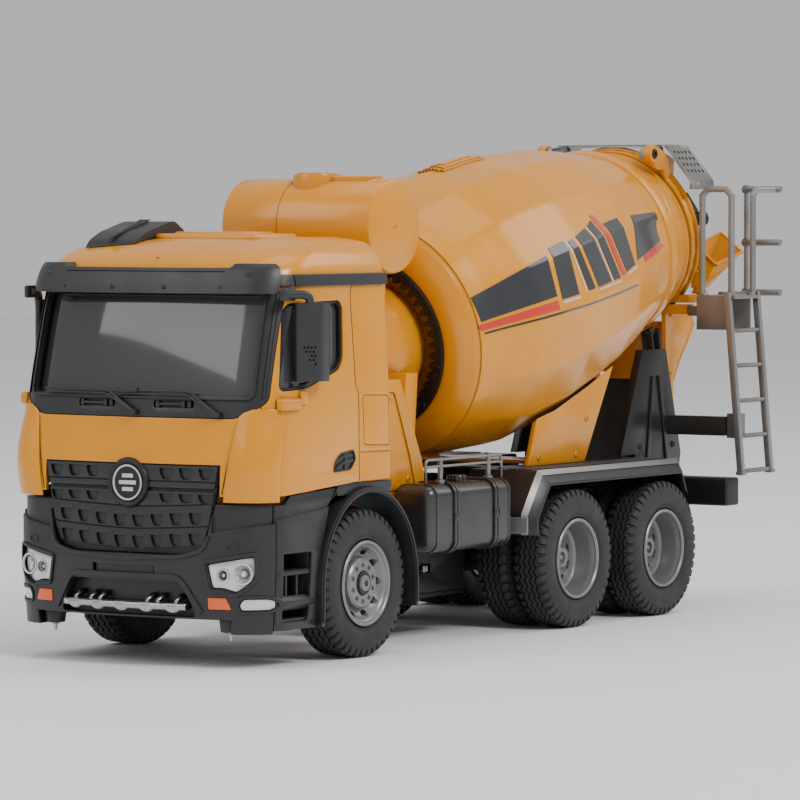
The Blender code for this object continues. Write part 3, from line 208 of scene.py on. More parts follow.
def plate(outline, span, axis):
    """A flat outline extruded along x, y or z."""
    curve = bpy.data.curves.new("outline", "CURVE")
    curve.dimensions = "2D"
    curve.fill_mode = "BOTH"
    curve.extrude = abs(span[1] - span[0]) / 2
    spline = curve.splines.new("POLY")
    spline.points.add(len(outline) - 1)
    for point, (u, v) in zip(spline.points, outline):
        point.co = (u, v, 0, 1)
    spline.use_cyclic_u = True
    holder = bpy.data.objects.new("outline", curve)
    bpy.context.scene.collection.objects.link(holder)
    depsgraph = bpy.context.evaluated_depsgraph_get()
    mesh = bpy.data.meshes.new_from_object(holder.evaluated_get(depsgraph))
    bpy.data.objects.remove(holder)
    bm = bmesh.new()
    bm.from_mesh(mesh)
    bmesh.ops.remove_doubles(bm, verts=bm.verts, dist=0.001)
    middle = (span[0] + span[1]) / 2
    place = {
        "x": Matrix(((0, 0, 1, middle), (1, 0, 0, 0), (0, 1, 0, 0), (0, 0, 0, 1))),
        "y": Matrix(((1, 0, 0, 0), (0, 0, -1, middle), (0, 1, 0, 0), (0, 0, 0, 1))),
        "z": Matrix.Translation((0, 0, middle)),
    }[axis]
    bmesh.ops.transform(bm, matrix=place, verts=bm.verts)
    return from_bmesh(bm)


def turned(profile, segments, matrix, closed=True):
    """A (along, radius) outline turned about local z, then placed."""
    bm = bmesh.new()
    rows = []
    for along, radius in profile:
        if radius == 0:
            rows.append([bm.verts.new((0, 0, along))] * segments)
            continue
        rows.append([bm.verts.new((radius * math.cos(2 * math.pi * i / segments),
                                   radius * math.sin(2 * math.pi * i / segments), along))
                     for i in range(segments)])
    pairs = list(zip(rows, rows[1:]))
    if closed and not (profile[0][1] == 0 and profile[-1][1] == 0):
        pairs.append((rows[-1], rows[0]))
    for low, high in pairs:
        for i in range(segments):
            j = (i + 1) % segments
            corners = []
            for vert in (low[i], low[j], high[j], high[i]):
                if vert not in corners:
                    corners.append(vert)
            if len(corners) > 2:
                bm.faces.new(corners)
    return transform(from_bmesh(bm), matrix)


def tube(points, radius, sides=16, bend=0.0):
    """A round rail; corners are rounded with radius bend."""
    points = [Vector(p) for p in points]
    if bend:
        points = rounded_path(points, bend)
    runs = [(b - a).normalized() for a, b in zip(points, points[1:])]
    turn = Vector((0, 0, 1)).rotation_difference(runs[0])
    ring = []
    for i in range(sides):
        angle = 2 * math.pi * i / sides
        ring.append(points[0] + turn @ Vector((radius * math.cos(angle), radius * math.sin(angle), 0)))
    rings = [ring]
    for i, point in enumerate(points[1:]):
        run = runs[i]
        after = runs[i + 1] if i + 1 < len(runs) else run
        normal = (run + after).normalized()
        ring = [p + run * ((point - p).dot(normal) / run.dot(normal)) for p in ring]
        rings.append(ring)
    return loft(rings)


def rounded_path(points, bend, steps=6):
    """Replace each inner corner of a path by a short curve."""
    path = [points[0]]
    for before, corner, after in zip(points, points[1:], points[2:]):
        start = corner + (before - corner).normalized() * bend
        end = corner + (after - corner).normalized() * bend
        for i in range(steps + 1):
            t = i / steps
            path.append(start * (1 - t) ** 2 + corner * 2 * t * (1 - t) + end * t * t)
    return path + [points[-1]]


def loft(rings):
    """A closed skin over matching rings of points, capped at both ends."""
    bm = bmesh.new()
    rows = [[bm.verts.new(point) for point in ring] for ring in rings]
    count = len(rows[0])
    for low, high in zip(rows, rows[1:]):
        for i in range(count):
            bm.faces.new((low[i], low[(i + 1) % count], high[(i + 1) % count], high[i]))
    bm.faces.new(rows[0])
    bm.faces.new(rows[-1])
    return from_bmesh(bm)


def rounded_outline(points, radius, steps=5):
    """A closed outline with every corner rounded."""
    result = []
    count = len(points)
    for i in range(count):
        before, corner, after = Vector(points[i - 1]), Vector(points[i]), Vector(points[(i + 1) % count])
        reach = min(radius, (before - corner).length * 0.45, (after - corner).length * 0.45)
        start = corner + (before - corner).normalized() * reach
        end = corner + (after - corner).normalized() * reach
        for k in range(steps + 1):
            t = k / steps
            result.append(tuple(start * (1 - t) ** 2 + corner * 2 * t * (1 - t) + end * t * t))
    return result


def offset_outline(points, by):
    """A closed outline moved outward by a distance (inward if negative)."""
    count = len(points)
    area = sum(points[i - 1][0] * points[i][1] - points[i][0] * points[i - 1][1] for i in range(count))
    sign = 1 if area > 0 else -1
    result = []
    for i in range(count):
        before = (Vector(points[i]) - Vector(points[i - 1])).normalized()
        after = (Vector(points[(i + 1) % count]) - Vector(points[i])).normalized()
        normals = [Vector((d.y, -d.x)) * sign for d in (before, after)]
        middle = (normals[0] + normals[1]).normalized()
        result.append(tuple(Vector(points[i]) + middle * (by / max(0.4, middle.dot(normals[0])))))
    return result


# ---------------------------------------------------------------- materials

def linear(rgb):
    """sRGB 0..255 to a linear colour."""
    values = []
    for channel in rgb:
        c = channel / 255
        values.append(c / 12.92 if c <= 0.04045 else ((c + 0.055) / 1.055) ** 2.4)
    return (*values, 1.0)


class Graph:
    """Short calls for building a material's nodes."""

    def __init__(self, name):
        self.material = bpy.data.materials.new(name)
        self.material.use_nodes = True
        self.tree = self.material.node_tree
        self.shader = self.tree.nodes["Principled BSDF"]
        self.position = self.tree.nodes.new("ShaderNodeTexCoord").outputs["Object"]

    def node(self, kind, links=None, **values):
        node = self.tree.nodes.new(kind)
        for key, value in values.items():
            setattr(node, key, value)
        for socket, source in (links or {}).items():
            if hasattr(source, "is_output"):
                self.tree.links.new(source, node.inputs[socket])
            else:
                node.inputs[socket].default_value = source
        return node

    def noise(self, scale, detail=3.0, rough=0.5, stretch=None):
        vector = self.position
        if stretch:
            vector = self.node("ShaderNodeMapping", {"Vector": vector, "Scale": stretch}).outputs[0]
        return self.node("ShaderNodeTexNoise", {"Vector": vector, "Scale": scale, "Detail": detail,
                                                "Roughness": rough}).outputs["Fac"]

    def spread(self, source, low, high, from_low=0.3, from_high=0.7):
        return self.node("ShaderNodeMapRange", {"Value": source, "From Min": from_low,
                                                "From Max": from_high, "To Min": low,
                                                "To Max": high}).outputs[0]

    def mix(self, factor, a, b):
        return self.node("ShaderNodeMix", {0: factor, 6: a, 7: b}, data_type="RGBA").outputs[2]

    def crease(self, distance):
        """Ambient occlusion for painted shade: near 0 in corners and near 1 on open surfaces."""
        node = self.node("ShaderNodeAmbientOcclusion", {"Distance": distance}, samples=4,
                         only_local=False)
        return self.spread(node.outputs["AO"], 0.0, 1.0, 0.35, 0.8)

    def set(self, socket, value):
        target = self.shader.inputs[socket]
        if hasattr(value, "is_output"):
            self.tree.links.new(value, target)
        else:
            target.default_value = value
        return self

    def bump(self, height, strength, distance):
        node = self.node("ShaderNodeBump", {"Height": height, "Strength": strength, "Distance": distance})
        return self.set("Normal", node.outputs["Normal"])


def moulded(name, colour, shade, roughness, grain, grain_size=900.0, coat=0.0, metallic=0.0):
    """Moulded or painted plastic: faint clouding, uneven gloss, fine grain and painted shade in the
    creases.
    """
    g = Graph(name)
    cloud = g.spread(g.noise(22.0, 4.0), 0.0, 1.0)
    base = g.mix(cloud, linear(colour), linear(shade))
    # Painted shade: ambient occlusion darkens the colour in corners and creases towards 0.55 of the shade
    # tone.
    crease_shaded = g.mix(g.crease(0.004), linear([c * 0.55 for c in shade]), base)
    g.set("Base Color", crease_shaded)
    g.set("Roughness", g.spread(g.noise(60.0, 5.0, 0.6), roughness * 0.85, roughness * 1.2))
    g.set("Metallic", metallic)
    g.set("Coat Weight", coat)
    g.set("Coat Roughness", 0.12)
    g.bump(g.noise(grain_size, 2.0), grain, 0.0004)
    return g.material


def rubber_material():
    """Dull rubber: grey bloom on the walls, painted shade in the grooves and corners, faint mould lines.
    """
    g = Graph("tyre_rubber_look")
    cloud = g.spread(g.noise(30.0, 5.0, 0.6), 0.0, 1.0)
    base = g.mix(cloud, linear((54, 54, 56)), linear((44, 44, 46)))
    # Painted shade: ambient occlusion darkens the rubber to near black in grooves and corners.
    g.set("Base Color", g.mix(g.crease(0.003), linear((22, 22, 23)), base))
    g.set("Roughness", g.spread(g.noise(120.0, 4.0), 0.58, 0.75))
    g.set("Specular IOR Level", 0.35)
    g.bump(g.noise(700.0, 3.0), 0.25, 0.0003)
    return g.material


def glazing_material():
    """Smoked window plastic with a faint smear in its gloss, and a painted reflection that lightens it
    towards the truck's left (+X).
    """
    g = Graph("smoked_glazing_look")
    # Painted reflection: the base colour runs from dark grey to lighter grey across x.
    fade = g.node("ShaderNodeSeparateXYZ", {"Vector": g.position}).outputs["X"]
    painted_reflection = g.node("ShaderNodeMapRange", {"Value": fade, "From Min": -0.08, "From Max": 0.08,
                                         "To Min": 0.0, "To Max": 1.0}).outputs[0]
    g.set("Base Color", g.mix(painted_reflection, linear((44, 44, 46)), linear((66, 66, 68))))
    g.set("Roughness", g.spread(g.noise(16.0, 4.0), 0.05, 0.12))
    g.set("Coat Weight", 0.6)
    g.set("Coat Roughness", 0.03)
    g.bump(g.noise(14.0, 2.0), 0.03, 0.001)
    return g.material


def brushed(name, colour, roughness, stretch=(1.0, 30.0, 1.0)):
    """Plated or brushed metal with fine lines."""
    g = Graph(name)
    lines = g.noise(180.0, 4.0, 0.6, stretch)
    g.set("Base Color", g.mix(g.spread(lines, 0.0, 1.0), linear(colour),
                              linear([c * 0.86 for c in colour])))
    g.set("Metallic", 1.0)
    g.set("Roughness", g.spread(lines, roughness * 0.7, roughness * 1.3))
    g.bump(lines, 0.06, 0.0002)
    return g.material


def lens_material(name, colour):
    """Tinted lamp plastic with fine ribs under the surface."""
    g = Graph(name)
    ribs = g.node("ShaderNodeTexWave", {"Vector": g.position, "Scale": 260.0}, bands_direction="X")
    g.set("Base Color", g.mix(g.spread(ribs.outputs["Fac"], 0.0, 0.35, 0.0, 1.0), linear(colour),
                              linear([c * 0.8 for c in colour])))
    g.set("Roughness", g.spread(g.noise(90.0), 0.12, 0.2))
    g.set("Coat Weight", 0.5)
    g.bump(ribs.outputs["Fac"], 0.15, 0.0003)
    return g.material


LOOKS = {
    "yellow": moulded("yellow_look", (228, 148, 0), (218, 139, 0), 0.25, 0.015, 1200.0, coat=0.15),
    "dark": moulded("dark_look", (40, 41, 43), (34, 35, 37), 0.4, 0.10, 900.0),
    "black": moulded("black_look", (20, 20, 21), (16, 16, 17), 0.45, 0.10, 900.0),
    "deck": moulded("deck_look", (40, 41, 42), (34, 35, 36), 0.34, 0.06, 900.0, metallic=0.25),
    "gunmetal": moulded("gunmetal_look", (84, 84, 84), (74, 74, 75), 0.26, 0.02, 1100.0, metallic=0.7),
    "silver": moulded("silver_look", (142, 141, 139), (130, 129, 128), 0.32, 0.03, 1100.0, metallic=0.55),
    "rim": moulded("rim_look", (140, 140, 139), (124, 124, 124), 0.34, 0.04, 1000.0, metallic=0.5),
    "lamp": moulded("lamp_look", (226, 227, 229), (205, 206, 209), 0.16, 0.02, 500.0, coat=0.8,
                    metallic=0.35),
    "steel": brushed("steel_look", (190, 190, 192), 0.28),
    "rubber": rubber_material(),
    "glazing": glazing_material(),
    "orange": lens_material("orange_lens_look", (236, 92, 28)),
    "clear": lens_material("clear_lens_look", (206, 206, 204)),
    "wrap": moulded("battery_wrap_look", (34, 110, 60), (28, 96, 52), 0.35, 0.02),
    "decal_dark": moulded("decal_dark_look", (34, 36, 40), (42, 44, 50), 0.22, 0.01, coat=0.6),
    "decal_red": moulded("decal_red_look", (214, 48, 32), (200, 42, 30), 0.25, 0.01, coat=0.6),
    "decal_white": moulded("decal_white_look", (205, 205, 203), (190, 190, 190), 0.25, 0.01, coat=0.6),
}


def piece(name, obj, look, body, replaces=(), angle=32):
    """Name a finished shape, give it its look and put it on its body."""
    obj.name = name
    obj.data.name = name
    obj.data.materials.clear()
    obj.data.materials.append(LOOKS[look])
    obj.data.shade_smooth()
    obj.data.set_sharp_from_angle(angle=math.radians(angle))
    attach(obj, body)
    if replaces:
        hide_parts(*([replaces] if isinstance(replaces, str) else replaces))
    return obj


def cad_copy(node):
    """A working copy of a CAD node, with its flat faces joined again."""
    source = frame["nodes"][node]
    twin = bpy.data.objects.new("shape", source.data.copy())
    bpy.context.scene.collection.objects.link(twin)
    bm = bmesh.new()
    bm.from_mesh(twin.data)
    bmesh.ops.remove_doubles(bm, verts=bm.verts, dist=0.00001)
    bmesh.ops.dissolve_limit(bm, angle_limit=math.radians(0.6), verts=bm.verts, edges=bm.edges)
    bm.to_mesh(twin.data)
    bm.free()
    return twin


def refined(node, look, width, body="truck", extras=(), cutters=(), segments=2, angle=34):
    """A CAD node with its edges rounded, and with finer parts cut in or put on."""
    shape = cad_copy(node)
    if cutters:
        cut(shape, *cutters)
    bevelled(shape, width, segments, 30)
    if extras:
        group(shape, *extras)
    return piece(node + "_shape", shape, look, body, node, angle)


def along_x(origin):
    """Local z to the truck's x, at a point."""
    return Matrix.Translation(origin) @ Matrix.Rotation(math.pi / 2, 4, "Y")


def drum_matrix():
    """Local z to the drum's axis."""
    return Matrix.Translation(DRUM_ORIGIN) @ Matrix.Rotation(DRUM_TILT - math.pi / 2, 4, "X")


def screw(centre, direction, radius=2.2, height=1.1):
    """A pan-head screw with a cross recess."""
    head = turned([(-0.4, 0.0), (-0.4, radius), (height * 0.3, radius), (height * 0.75, radius * 0.82),
                   (height, radius * 0.45), (height, 0.0)], 20, Matrix())
    arm = radius * 0.6
    cut(head, box((-arm, arm), (-0.22 * radius, 0.22 * radius), (height * 0.45, height * 2)),
        box((-0.22 * radius, 0.22 * radius), (-arm, arm), (height * 0.45, height * 2)))
    return transform(head, Matrix.Translation(centre) @ turn_to(direction))


def screws(centres, direction, radius, height):
    """The same screw at several centres."""
    return [screw(centre, direction, radius, height) for centre in centres]


def piece_pair(name, ending, shape, look, angle):
    """The truck's left piece and its mirror image on the right."""
    piece(f"{name}_left_{ending}", copy_of(shape), look, "truck", f"{name}_left", angle)
    piece(f"{name}_right_{ending}", mirrored(shape), look, "truck", f"{name}_right", angle)
    bpy.data.objects.remove(shape)


# ---------------------------------------------------------------- wheels

TREAD_PITCHES = 44
TREAD_STEPS = (0.0, 0.28, 0.5, 0.56, 0.6, 0.9, 0.94)
GROOVE_SHARES = (0.18, 0.39, 0.61, 0.82)
ZIGZAG = 0.85
GROOVE_HALF = 0.55
GROOVE_DEPTH = 1.5


def tread_lines(inner_x, outer_x):
    """The lines that run round one tyre: (x, radius, zigzag share, notch x, notch radius)."""
    half = []
    for x, radius, notch_x, notch_r in (
            (1.7, 23.6, 0, 0), (0.9, 24.4, 0, 0), (1.1, 25.6, 0, 0), (0.45, 26.2, 0, 0),
            (0.05, 29.5, 0, 0),
            (0.0, 31.5, 0, 0), (0.15, 33.5, 0, 0), (0.6, 35.6, 0, 0), (0.75, 35.9, 0.55, 0),
            (1.2, 38.0, 1.0, -0.5), (1.9, 39.4, 0.8, -1.2), (2.8, WHEEL_R - 0.1, 0.2, -1.5)):
        half.append((x, radius, notch_x, notch_r))
    lines = [(inner_x + x, radius, 0.0, nx, nr) for x, radius, nx, nr in half]
    start, width = inner_x + 2.8, outer_x - inner_x - 5.6
    for share in GROOVE_SHARES:
        centre = start + width * share
        lines += [(centre - GROOVE_HALF, WHEEL_R, 1.0, 0, 0),
                  (centre - GROOVE_HALF + 0.2, WHEEL_R - GROOVE_DEPTH, 1.0, 0, 0),
                  (centre + GROOVE_HALF - 0.2, WHEEL_R - GROOVE_DEPTH, 1.0, 0, 0),
                  (centre + GROOVE_HALF, WHEEL_R, 1.0, 0, 0)]
    lines += [(outer_x - x, radius, 0.0, -nx, nr) for x, radius, nx, nr in half[::-1]]
    return lines


def tyre(inner_x, outer_x, side, y):
    """One tyre: zigzag grooves round it and notched shoulders."""
    bm = bmesh.new()
    lines = tread_lines(inner_x, outer_x)
    columns = []
    for pitch in range(TREAD_PITCHES):
        for step in TREAD_STEPS:
            angle = 2 * math.pi * (pitch + step) / TREAD_PITCHES
            wave = (1 - abs(2 * step - 1)) * 2 - 1
            notched = 0.59 < step < 0.91
            column = []
            for x, radius, zigzag, notch_x, notch_r in lines:
                px = x + wave * ZIGZAG * zigzag + (notch_x if notched else 0)
                r = radius + (notch_r if notched else 0)
                column.append(bm.verts.new((side * px, y + r * math.sin(angle),
                                            WHEEL_R + r * math.cos(angle))))
            columns.append(column)
    for a, b in zip(columns, columns[1:] + columns[:1]):
        for i in range(len(lines)):
            j = (i + 1) % len(lines)
            bm.faces.new((a[i], b[i], b[j], a[j]))
    return from_bmesh(bm)


def oval_cutter(radius, angle, length, width, x0, x1, centre_y):
    """A slot-shaped tool at a place round a wheel's axis, its long side round the axis."""
    outline = []
    for i in range(24):
        t = 2 * math.pi * i / 24
        outline.append((length / 2 * math.cos(t), width / 2 * math.sin(t)))
    tool = plate(outline, (x0, x1), "x")
    turn = Matrix.Rotation(angle, 4, "X") @ Matrix.Translation((0, 0, radius))
    return transform(tool, Matrix.Translation((0, centre_y, WHEEL_R)) @ turn)


def hex_nut(radius, angle, x, size, height, centre_y):
    """A wheel nut with its stud, at a place round a wheel's axis."""
    nut = cylinder((x, 0, 0), (x + height, 0, 0), size, 6, size * 0.92)
    group(nut, cylinder((x, 0, 0), (x + height * 1.5, 0, 0), size * 0.5, 14, size * 0.4))
    turn = Matrix.Rotation(angle, 4, "X") @ Matrix.Translation((0, 0, radius))
    return transform(nut, Matrix.Translation((0, centre_y, WHEEL_R)) @ turn)


def front_rim_shape():
    """Flange, vented ring, hub plate with ten nuts and a round cap."""
    y = FRONT_AXLE_Y
    profile = [(84.2, 0.0), (84.2, 3.4), (83.9, 4.2), (82.0, 4.8), (82.0, 6.6), (82.4, 7.2), (81.9, 12.6),
               (80.9, 13.6), (78.2, 14.2), (77.4, 15.0), (77.8, 16.6), (79.4, 18.4), (81.8, 19.6),
               (82.6, 20.2), (82.9, 20.8), (84.0, 21.2), (84.6, 21.8), (84.6, 22.6), (84.0, RIM_R - 0.1),
               (83.0, RIM_R - 0.1), (82.6, 22.9), (61.2, 22.9), (61.2, 20.8), (74.0, 20.2), (74.8, 14.0),
               (76.0, 8.0), (71.2, 8.0), (71.2, 3.1), (81.2, 3.1), (81.2, 0.0)]
    rim = turned(profile, 96, along_x((0, y, WHEEL_R)))
    for i in range(10):
        cut(rim, oval_cutter(17.3, 2 * math.pi * (i + 0.5) / 10, 4.6, 2.9, 60.0, 90.0, y))
    nuts = [hex_nut(9.9, 2 * math.pi * i / 10, 81.8, 1.35, 1.1, y) for i in range(10)]
    bevelled(rim, 0.18, 2, 40)
    return group(rim, *nuts)


def front_hub_ring():
    """The dark ring round the cap, and the cap's dished middle."""
    y = FRONT_AXLE_Y
    ring = turned([(81.8, 4.4), (82.9, 4.6), (82.9, 6.2), (81.8, 6.6)], 48, along_x((0, y, WHEEL_R)))
    dish = turned([(83.9, 0.0), (84.3, 0.2), (84.35, 1.7), (83.9, 2.1)], 32, along_x((0, y, WHEEL_R)))
    return group(ring, dish)


def rear_rim_shape(y):
    """Deep rim for twin tyres: flange, barrel, disc with oval holes and a hub."""
    profile = [(74.6, 0.0), (74.6, 1.0), (73.4, 2.2), (73.4, 2.9), (75.0, 3.4), (75.2, 5.4), (74.4, 6.6),
               (72.6, 7.0), (72.2, 9.6), (71.4, 10.6), (70.6, 15.6), (71.0, 18.0), (72.2, 19.4),
               (80.6, 20.3), (82.4, 20.6), (83.6, 21.1), (84.2, 21.2), (84.9, 21.2), (85.8, 21.8),
               (85.9, 22.6), (85.2, RIM_R - 0.1), (84.2, RIM_R - 0.1), (83.8, 22.9), (39.9, 22.9),
               (39.9, 21.2), (62.5, 20.0), (68.6, 18.4), (69.2, 9.0), (52.0, 7.0), (52.0, 3.3),
               (72.0, 3.3), (72.0, 0.0)]
    rim = turned(profile, 96, along_x((0, y, WHEEL_R)))
    for i in range(8):
        cut(rim, oval_cutter(13.0, 2 * math.pi * (i + 0.5) / 8, 5.6, 3.2, 60.0, 90.0, y))
    bevelled(rim, 0.18, 2, 40)
    nuts = [hex_nut(6.0, 2 * math.pi * i / 8, 74.6, 0.7, 0.7, y) for i in range(8)]
    return group(rim, *nuts)


def build_wheels():
    """Pieces of the six wheels and their hubs."""
    rim = front_rim_shape()
    ring = front_hub_ring()
    for name, side in (("left", 1), ("right", -1)):
        body = f"front_wheel_{name}"
        piece(f"front_tyre_{name}_tread", tyre(60.5, 84.5, side, FRONT_AXLE_Y), "rubber", body,
              f"front_tyre_{name}", 50)
        shape = copy_of(rim) if side > 0 else mirrored(rim)
        piece(f"front_rim_{name}_shape", shape, "rim", body, f"front_rim_{name}")
        shape = copy_of(ring) if side > 0 else mirrored(ring)
        piece(f"front_hub_ring_{name}", shape, "black", body)
    for obj in (rim, ring):
        bpy.data.objects.remove(obj)
    for place, y in REAR_AXLE_YS.items():
        rim = rear_rim_shape(y)
        for name, side in (("left", 1), ("right", -1)):
            body = f"{place}_wheels"
            pair = group(tyre(39.5, 61.4, side, y), tyre(64.4, 86.0, side, y))
            web = turned([(60.6, 23.7), (60.6, 27.0), (65.2, 27.0), (65.2, 23.7)], 64,
                         Matrix.Scale(side, 4, (1, 0, 0)) @ along_x((0, y, WHEEL_R)))
            piece(f"{place}_tyre_{name}_tread", group(pair, web), "rubber", body, f"{place}_tyre_{name}",
                  50)
            shape = copy_of(rim) if side > 0 else mirrored(rim)
            piece(f"{place}_rim_{name}_shape", shape, "rim", body, f"{place}_rim_{name}")
        bpy.data.objects.remove(rim)


# ---------------------------------------------------------------- cab form

def smooth_section(z):
    """Half width, nose, back and bow at a height; smooth between the listed sections."""
    rows = CAB_SECTIONS
    z = min(max(z, rows[0][0]), rows[-1][0])
    for i in range(len(rows) - 1):
        low, high = rows[i], rows[i + 1]
        if low[0] <= z <= high[0]:
            break
    span = high[0] - low[0]
    t = (z - low[0]) / span
    before, after = rows[max(i - 1, 0)], rows[min(i + 2, len(rows) - 1)]
    values = []
    for k in range(1, 5):
        rise = (high[k] - low[k]) / span
        first = (low[k] - before[k]) / (low[0] - before[0]) if low[0] > before[0] else rise
        last = (after[k] - high[k]) / (after[0] - high[0]) if after[0] > high[0] else rise
        m0 = (rise + first) / 2 if rise * first > 0 else 0.0
        m1 = (rise + last) / 2 if rise * last > 0 else 0.0
        m0 = max(min(m0, 2.5 * abs(rise)), -2.5 * abs(rise))
        m1 = max(min(m1, 2.5 * abs(rise)), -2.5 * abs(rise))
        values.append((2 * t ** 3 - 3 * t * t + 1) * low[k] + (t ** 3 - 2 * t * t + t) * m0 * span
                      + (3 * t * t - 2 * t ** 3) * high[k] + (t ** 3 - t * t) * m1 * span)
    return values


def plan_outline(half_width, nose_y, back_y, bow):
    """Plan of the cab at one height: bowed nose, round corners, straight sides, flat back."""
    nose_half = half_width - CORNER_R * 0.75
    slope = math.atan(2 * bow / nose_half)
    points = [(nose_half * i / 12, nose_y + bow * (i / 12) ** 2) for i in range(13)]
    radius = (half_width - nose_half) / (1 - math.sin(slope))
    for i in range(1, 13):
        angle = slope + (math.pi / 2 - slope) * i / 12
        points.append((nose_half + radius * (math.sin(angle) - math.sin(slope)),
                       nose_y + bow + radius * (math.cos(slope) - math.cos(angle))))
    for i in range(5):
        angle = math.pi / 2 * i / 4
        points.append((half_width - 4 + 4 * math.cos(angle), back_y - 4 + 4 * math.sin(angle)))
    return points + [(-x, y) for x, y in reversed(points) if x > 0]


def body(z_low, z_high, inset=0.0, nose_out=0.0):
    """The cab's outer form between two heights, moved in by inset and its nose out by nose_out."""
    heights = {z_low, z_high}
    z = math.ceil(z_low)
    while z < z_high:
        heights.add(z)
        z += 1.0 if z > 205 else 4.0
    rings = []
    for z in sorted(heights):
        half_width, nose_y, back_y, bow = smooth_section(z)
        outline = plan_outline(half_width - inset, nose_y + inset - nose_out, back_y - inset, bow)
        rings.append([(x, y, z) for x, y in outline])
    return loft(rings)


def skin(z_low, z_high, outer, inner, nose_out=0.0):
    """A bent wall that follows the cab's form between two insets."""
    return cut(body(z_low, z_high, outer, nose_out), body(z_low - 1, z_high + 1, inner, nose_out))


def on_nose(x, z, out=0.0):
    """A point on the cab's front, moved forward by out."""
    half_width, nose_y, _, bow = smooth_section(z)
    outline = plan_outline(half_width, nose_y, -153.0, bow)[:25]
    for (x0, y0), (x1, y1) in zip(outline, outline[1:]):
        if x0 <= abs(x) <= x1:
            return (x, y0 + (y1 - y0) * (abs(x) - x0) / max(x1 - x0, 1e-6) - out, z)
    return (x, nose_y + bow - out, z)


def both_sides(outline):
    """A front-view outline given for the left half, closed over the centre line."""
    return outline + [(-x, z) for x, z in reversed(outline)]


def sides(shape):
    """A shape on the left and its mirror image on the right."""
    return group(shape, mirrored(shape))


def ribbon(points, width):
    """A closed outline that runs along a path with an even width."""
    left, right = [], []
    for i, point in enumerate(points):
        before = Vector(points[max(i - 1, 0)])
        after = Vector(points[min(i + 1, len(points) - 1)])
        normal = (after - before).normalized()
        normal = Vector((-normal.y, normal.x)) * width / 2
        left.append(tuple(Vector(point) + normal))
        right.append(tuple(Vector(point) - normal))
    return left + right[::-1]


def frame_plate(outline, span, axis, width):
    """A flat frame of even width that runs round an outline."""
    lo, hi = span
    return cut(plate(offset_outline(outline, width / 2), span, axis),
               plate(offset_outline(outline, -width / 2), (lo - 1, hi + 1), axis))


# ---------------------------------------------------------------- cab

FRAME_OUTLINE = [(63.5, 131.6), (70.5, 134.5), (79.5, 140.0), (79.0, 199.5)]
GLASS_OUTLINE = [(72.0, 143.5), (71.0, 197.0)]
WINDOW_OUTLINE = [(-258.0, 146.0), (-235.0, 147.0), (-204.0, 156.0), (-200.0, 162.0), (-199.0, 190.0),
                  (-202.0, 193.5), (-247.0, 192.5), (-251.0, 188.0)]
HANDLE_OUTLINE = [(-211.2, 101.4), (-210.0, 107.2), (-204.5, 111.6), (-191.6, 113.2), (-189.3, 108.0),
                  (-194.3, 102.2)]
FRONT = (-320.0, -226.0)


def cab_panel_lines():
    """Shut lines of the doors, the side hatch and the rear panel, as cutters."""
    hatch = rounded_outline([(-182.5, 142.0), (-157.4, 141.2), (-156.8, 114.0), (-181.4, 115.2)], 2.5)
    door_back = [(-189.4, 203.0), (-191.3, 196.0), (-188.8, 148.0), (-186.5, 144.0), (-186.0, 88.0)]
    door_front = [(-266.2, 139.0), (-267.8, 86.0)]
    lines = []
    for span in ((72.0, 100.0), (-100.0, -72.0)):
        for line in (plate(ribbon(door_back, 0.8), span, "x"), plate(ribbon(door_front, 0.8), span, "x"),
                     plate(ribbon([(-185.3, 111.4), (-150.0, 110.9)], 0.8), span, "x"),
                     frame_plate(hatch, span, "x", 0.6)):
            lines.append(keep(line, skin(84.0, 210.0, -1.0, 0.7)))
    return lines


def cab_shell_shape():
    """The cab's yellow shell with its window openings and seams."""
    shell = body(91.0, 227.0)
    inner = body(86.0, 227.0, 2.4)
    cut(shell, transform(inner, Matrix.Translation((0, 0, -2.4))))
    cut(shell, plate(rounded_outline(both_sides(FRAME_OUTLINE), 4.0), FRONT, "y"))
    cut(shell, plate([(57.4, 80.0), (57.4, 107.5), (-57.4, 107.5), (-57.4, 80.0)], FRONT, "y"))
    window = rounded_outline(WINDOW_OUTLINE, 4.0)
    cut(shell, plate(window, (-120.0, 120.0), "x"))
    wedge = [(-300.0, 85.0), (-140.0, 85.0), (-140.0, 96.6), (-186.0, 95.8), (-211.0, 94.2),
             (-262.0, 91.0), (-300.0, 90.0)]
    cut(shell, plate(wedge, (-120.0, 120.0), "x"))
    cut(shell, *cab_panel_lines())
    handle = plate(rounded_outline(HANDLE_OUTLINE, 1.6), (-100, 100), "x")
    cut(shell, keep(handle, skin(90.0, 120.0, -2.0, 1.8)))
    for side in (-1, 1):
        hood_line = plate(ribbon([(side * 66.5, 131.0), (side * 58.6, 92.0)], 0.9), FRONT, "y")
        cut(shell, keep(hood_line, skin(90.0, 133.0, -1.0, 0.8)))
    roof_line = keep(skin(206.0, 227.5, -1.0, 0.5), plate(ribbon([(-231.0, 190.0), (-231.0, 240.0)], 0.7),
                                                       (-100, 100), "x"))
    cut(shell, roof_line)
    bevelled(shell, 0.35, 2, 40)
    return group(shell, *roof_details())


def roof_details():
    """A shallow raised panel on the roof and a screw in its front edge."""
    panel = box((-34, 36), (-214, -172), (222.0, 228.8), 2.4, 3)
    step = box((-22, 24), (-208, -178), (226.0, 229.8), 1.2, 2)
    return [panel, step, screw((0.0, -252.6, 215.2), (0, -0.75, 0.66), 1.9, 0.9)]


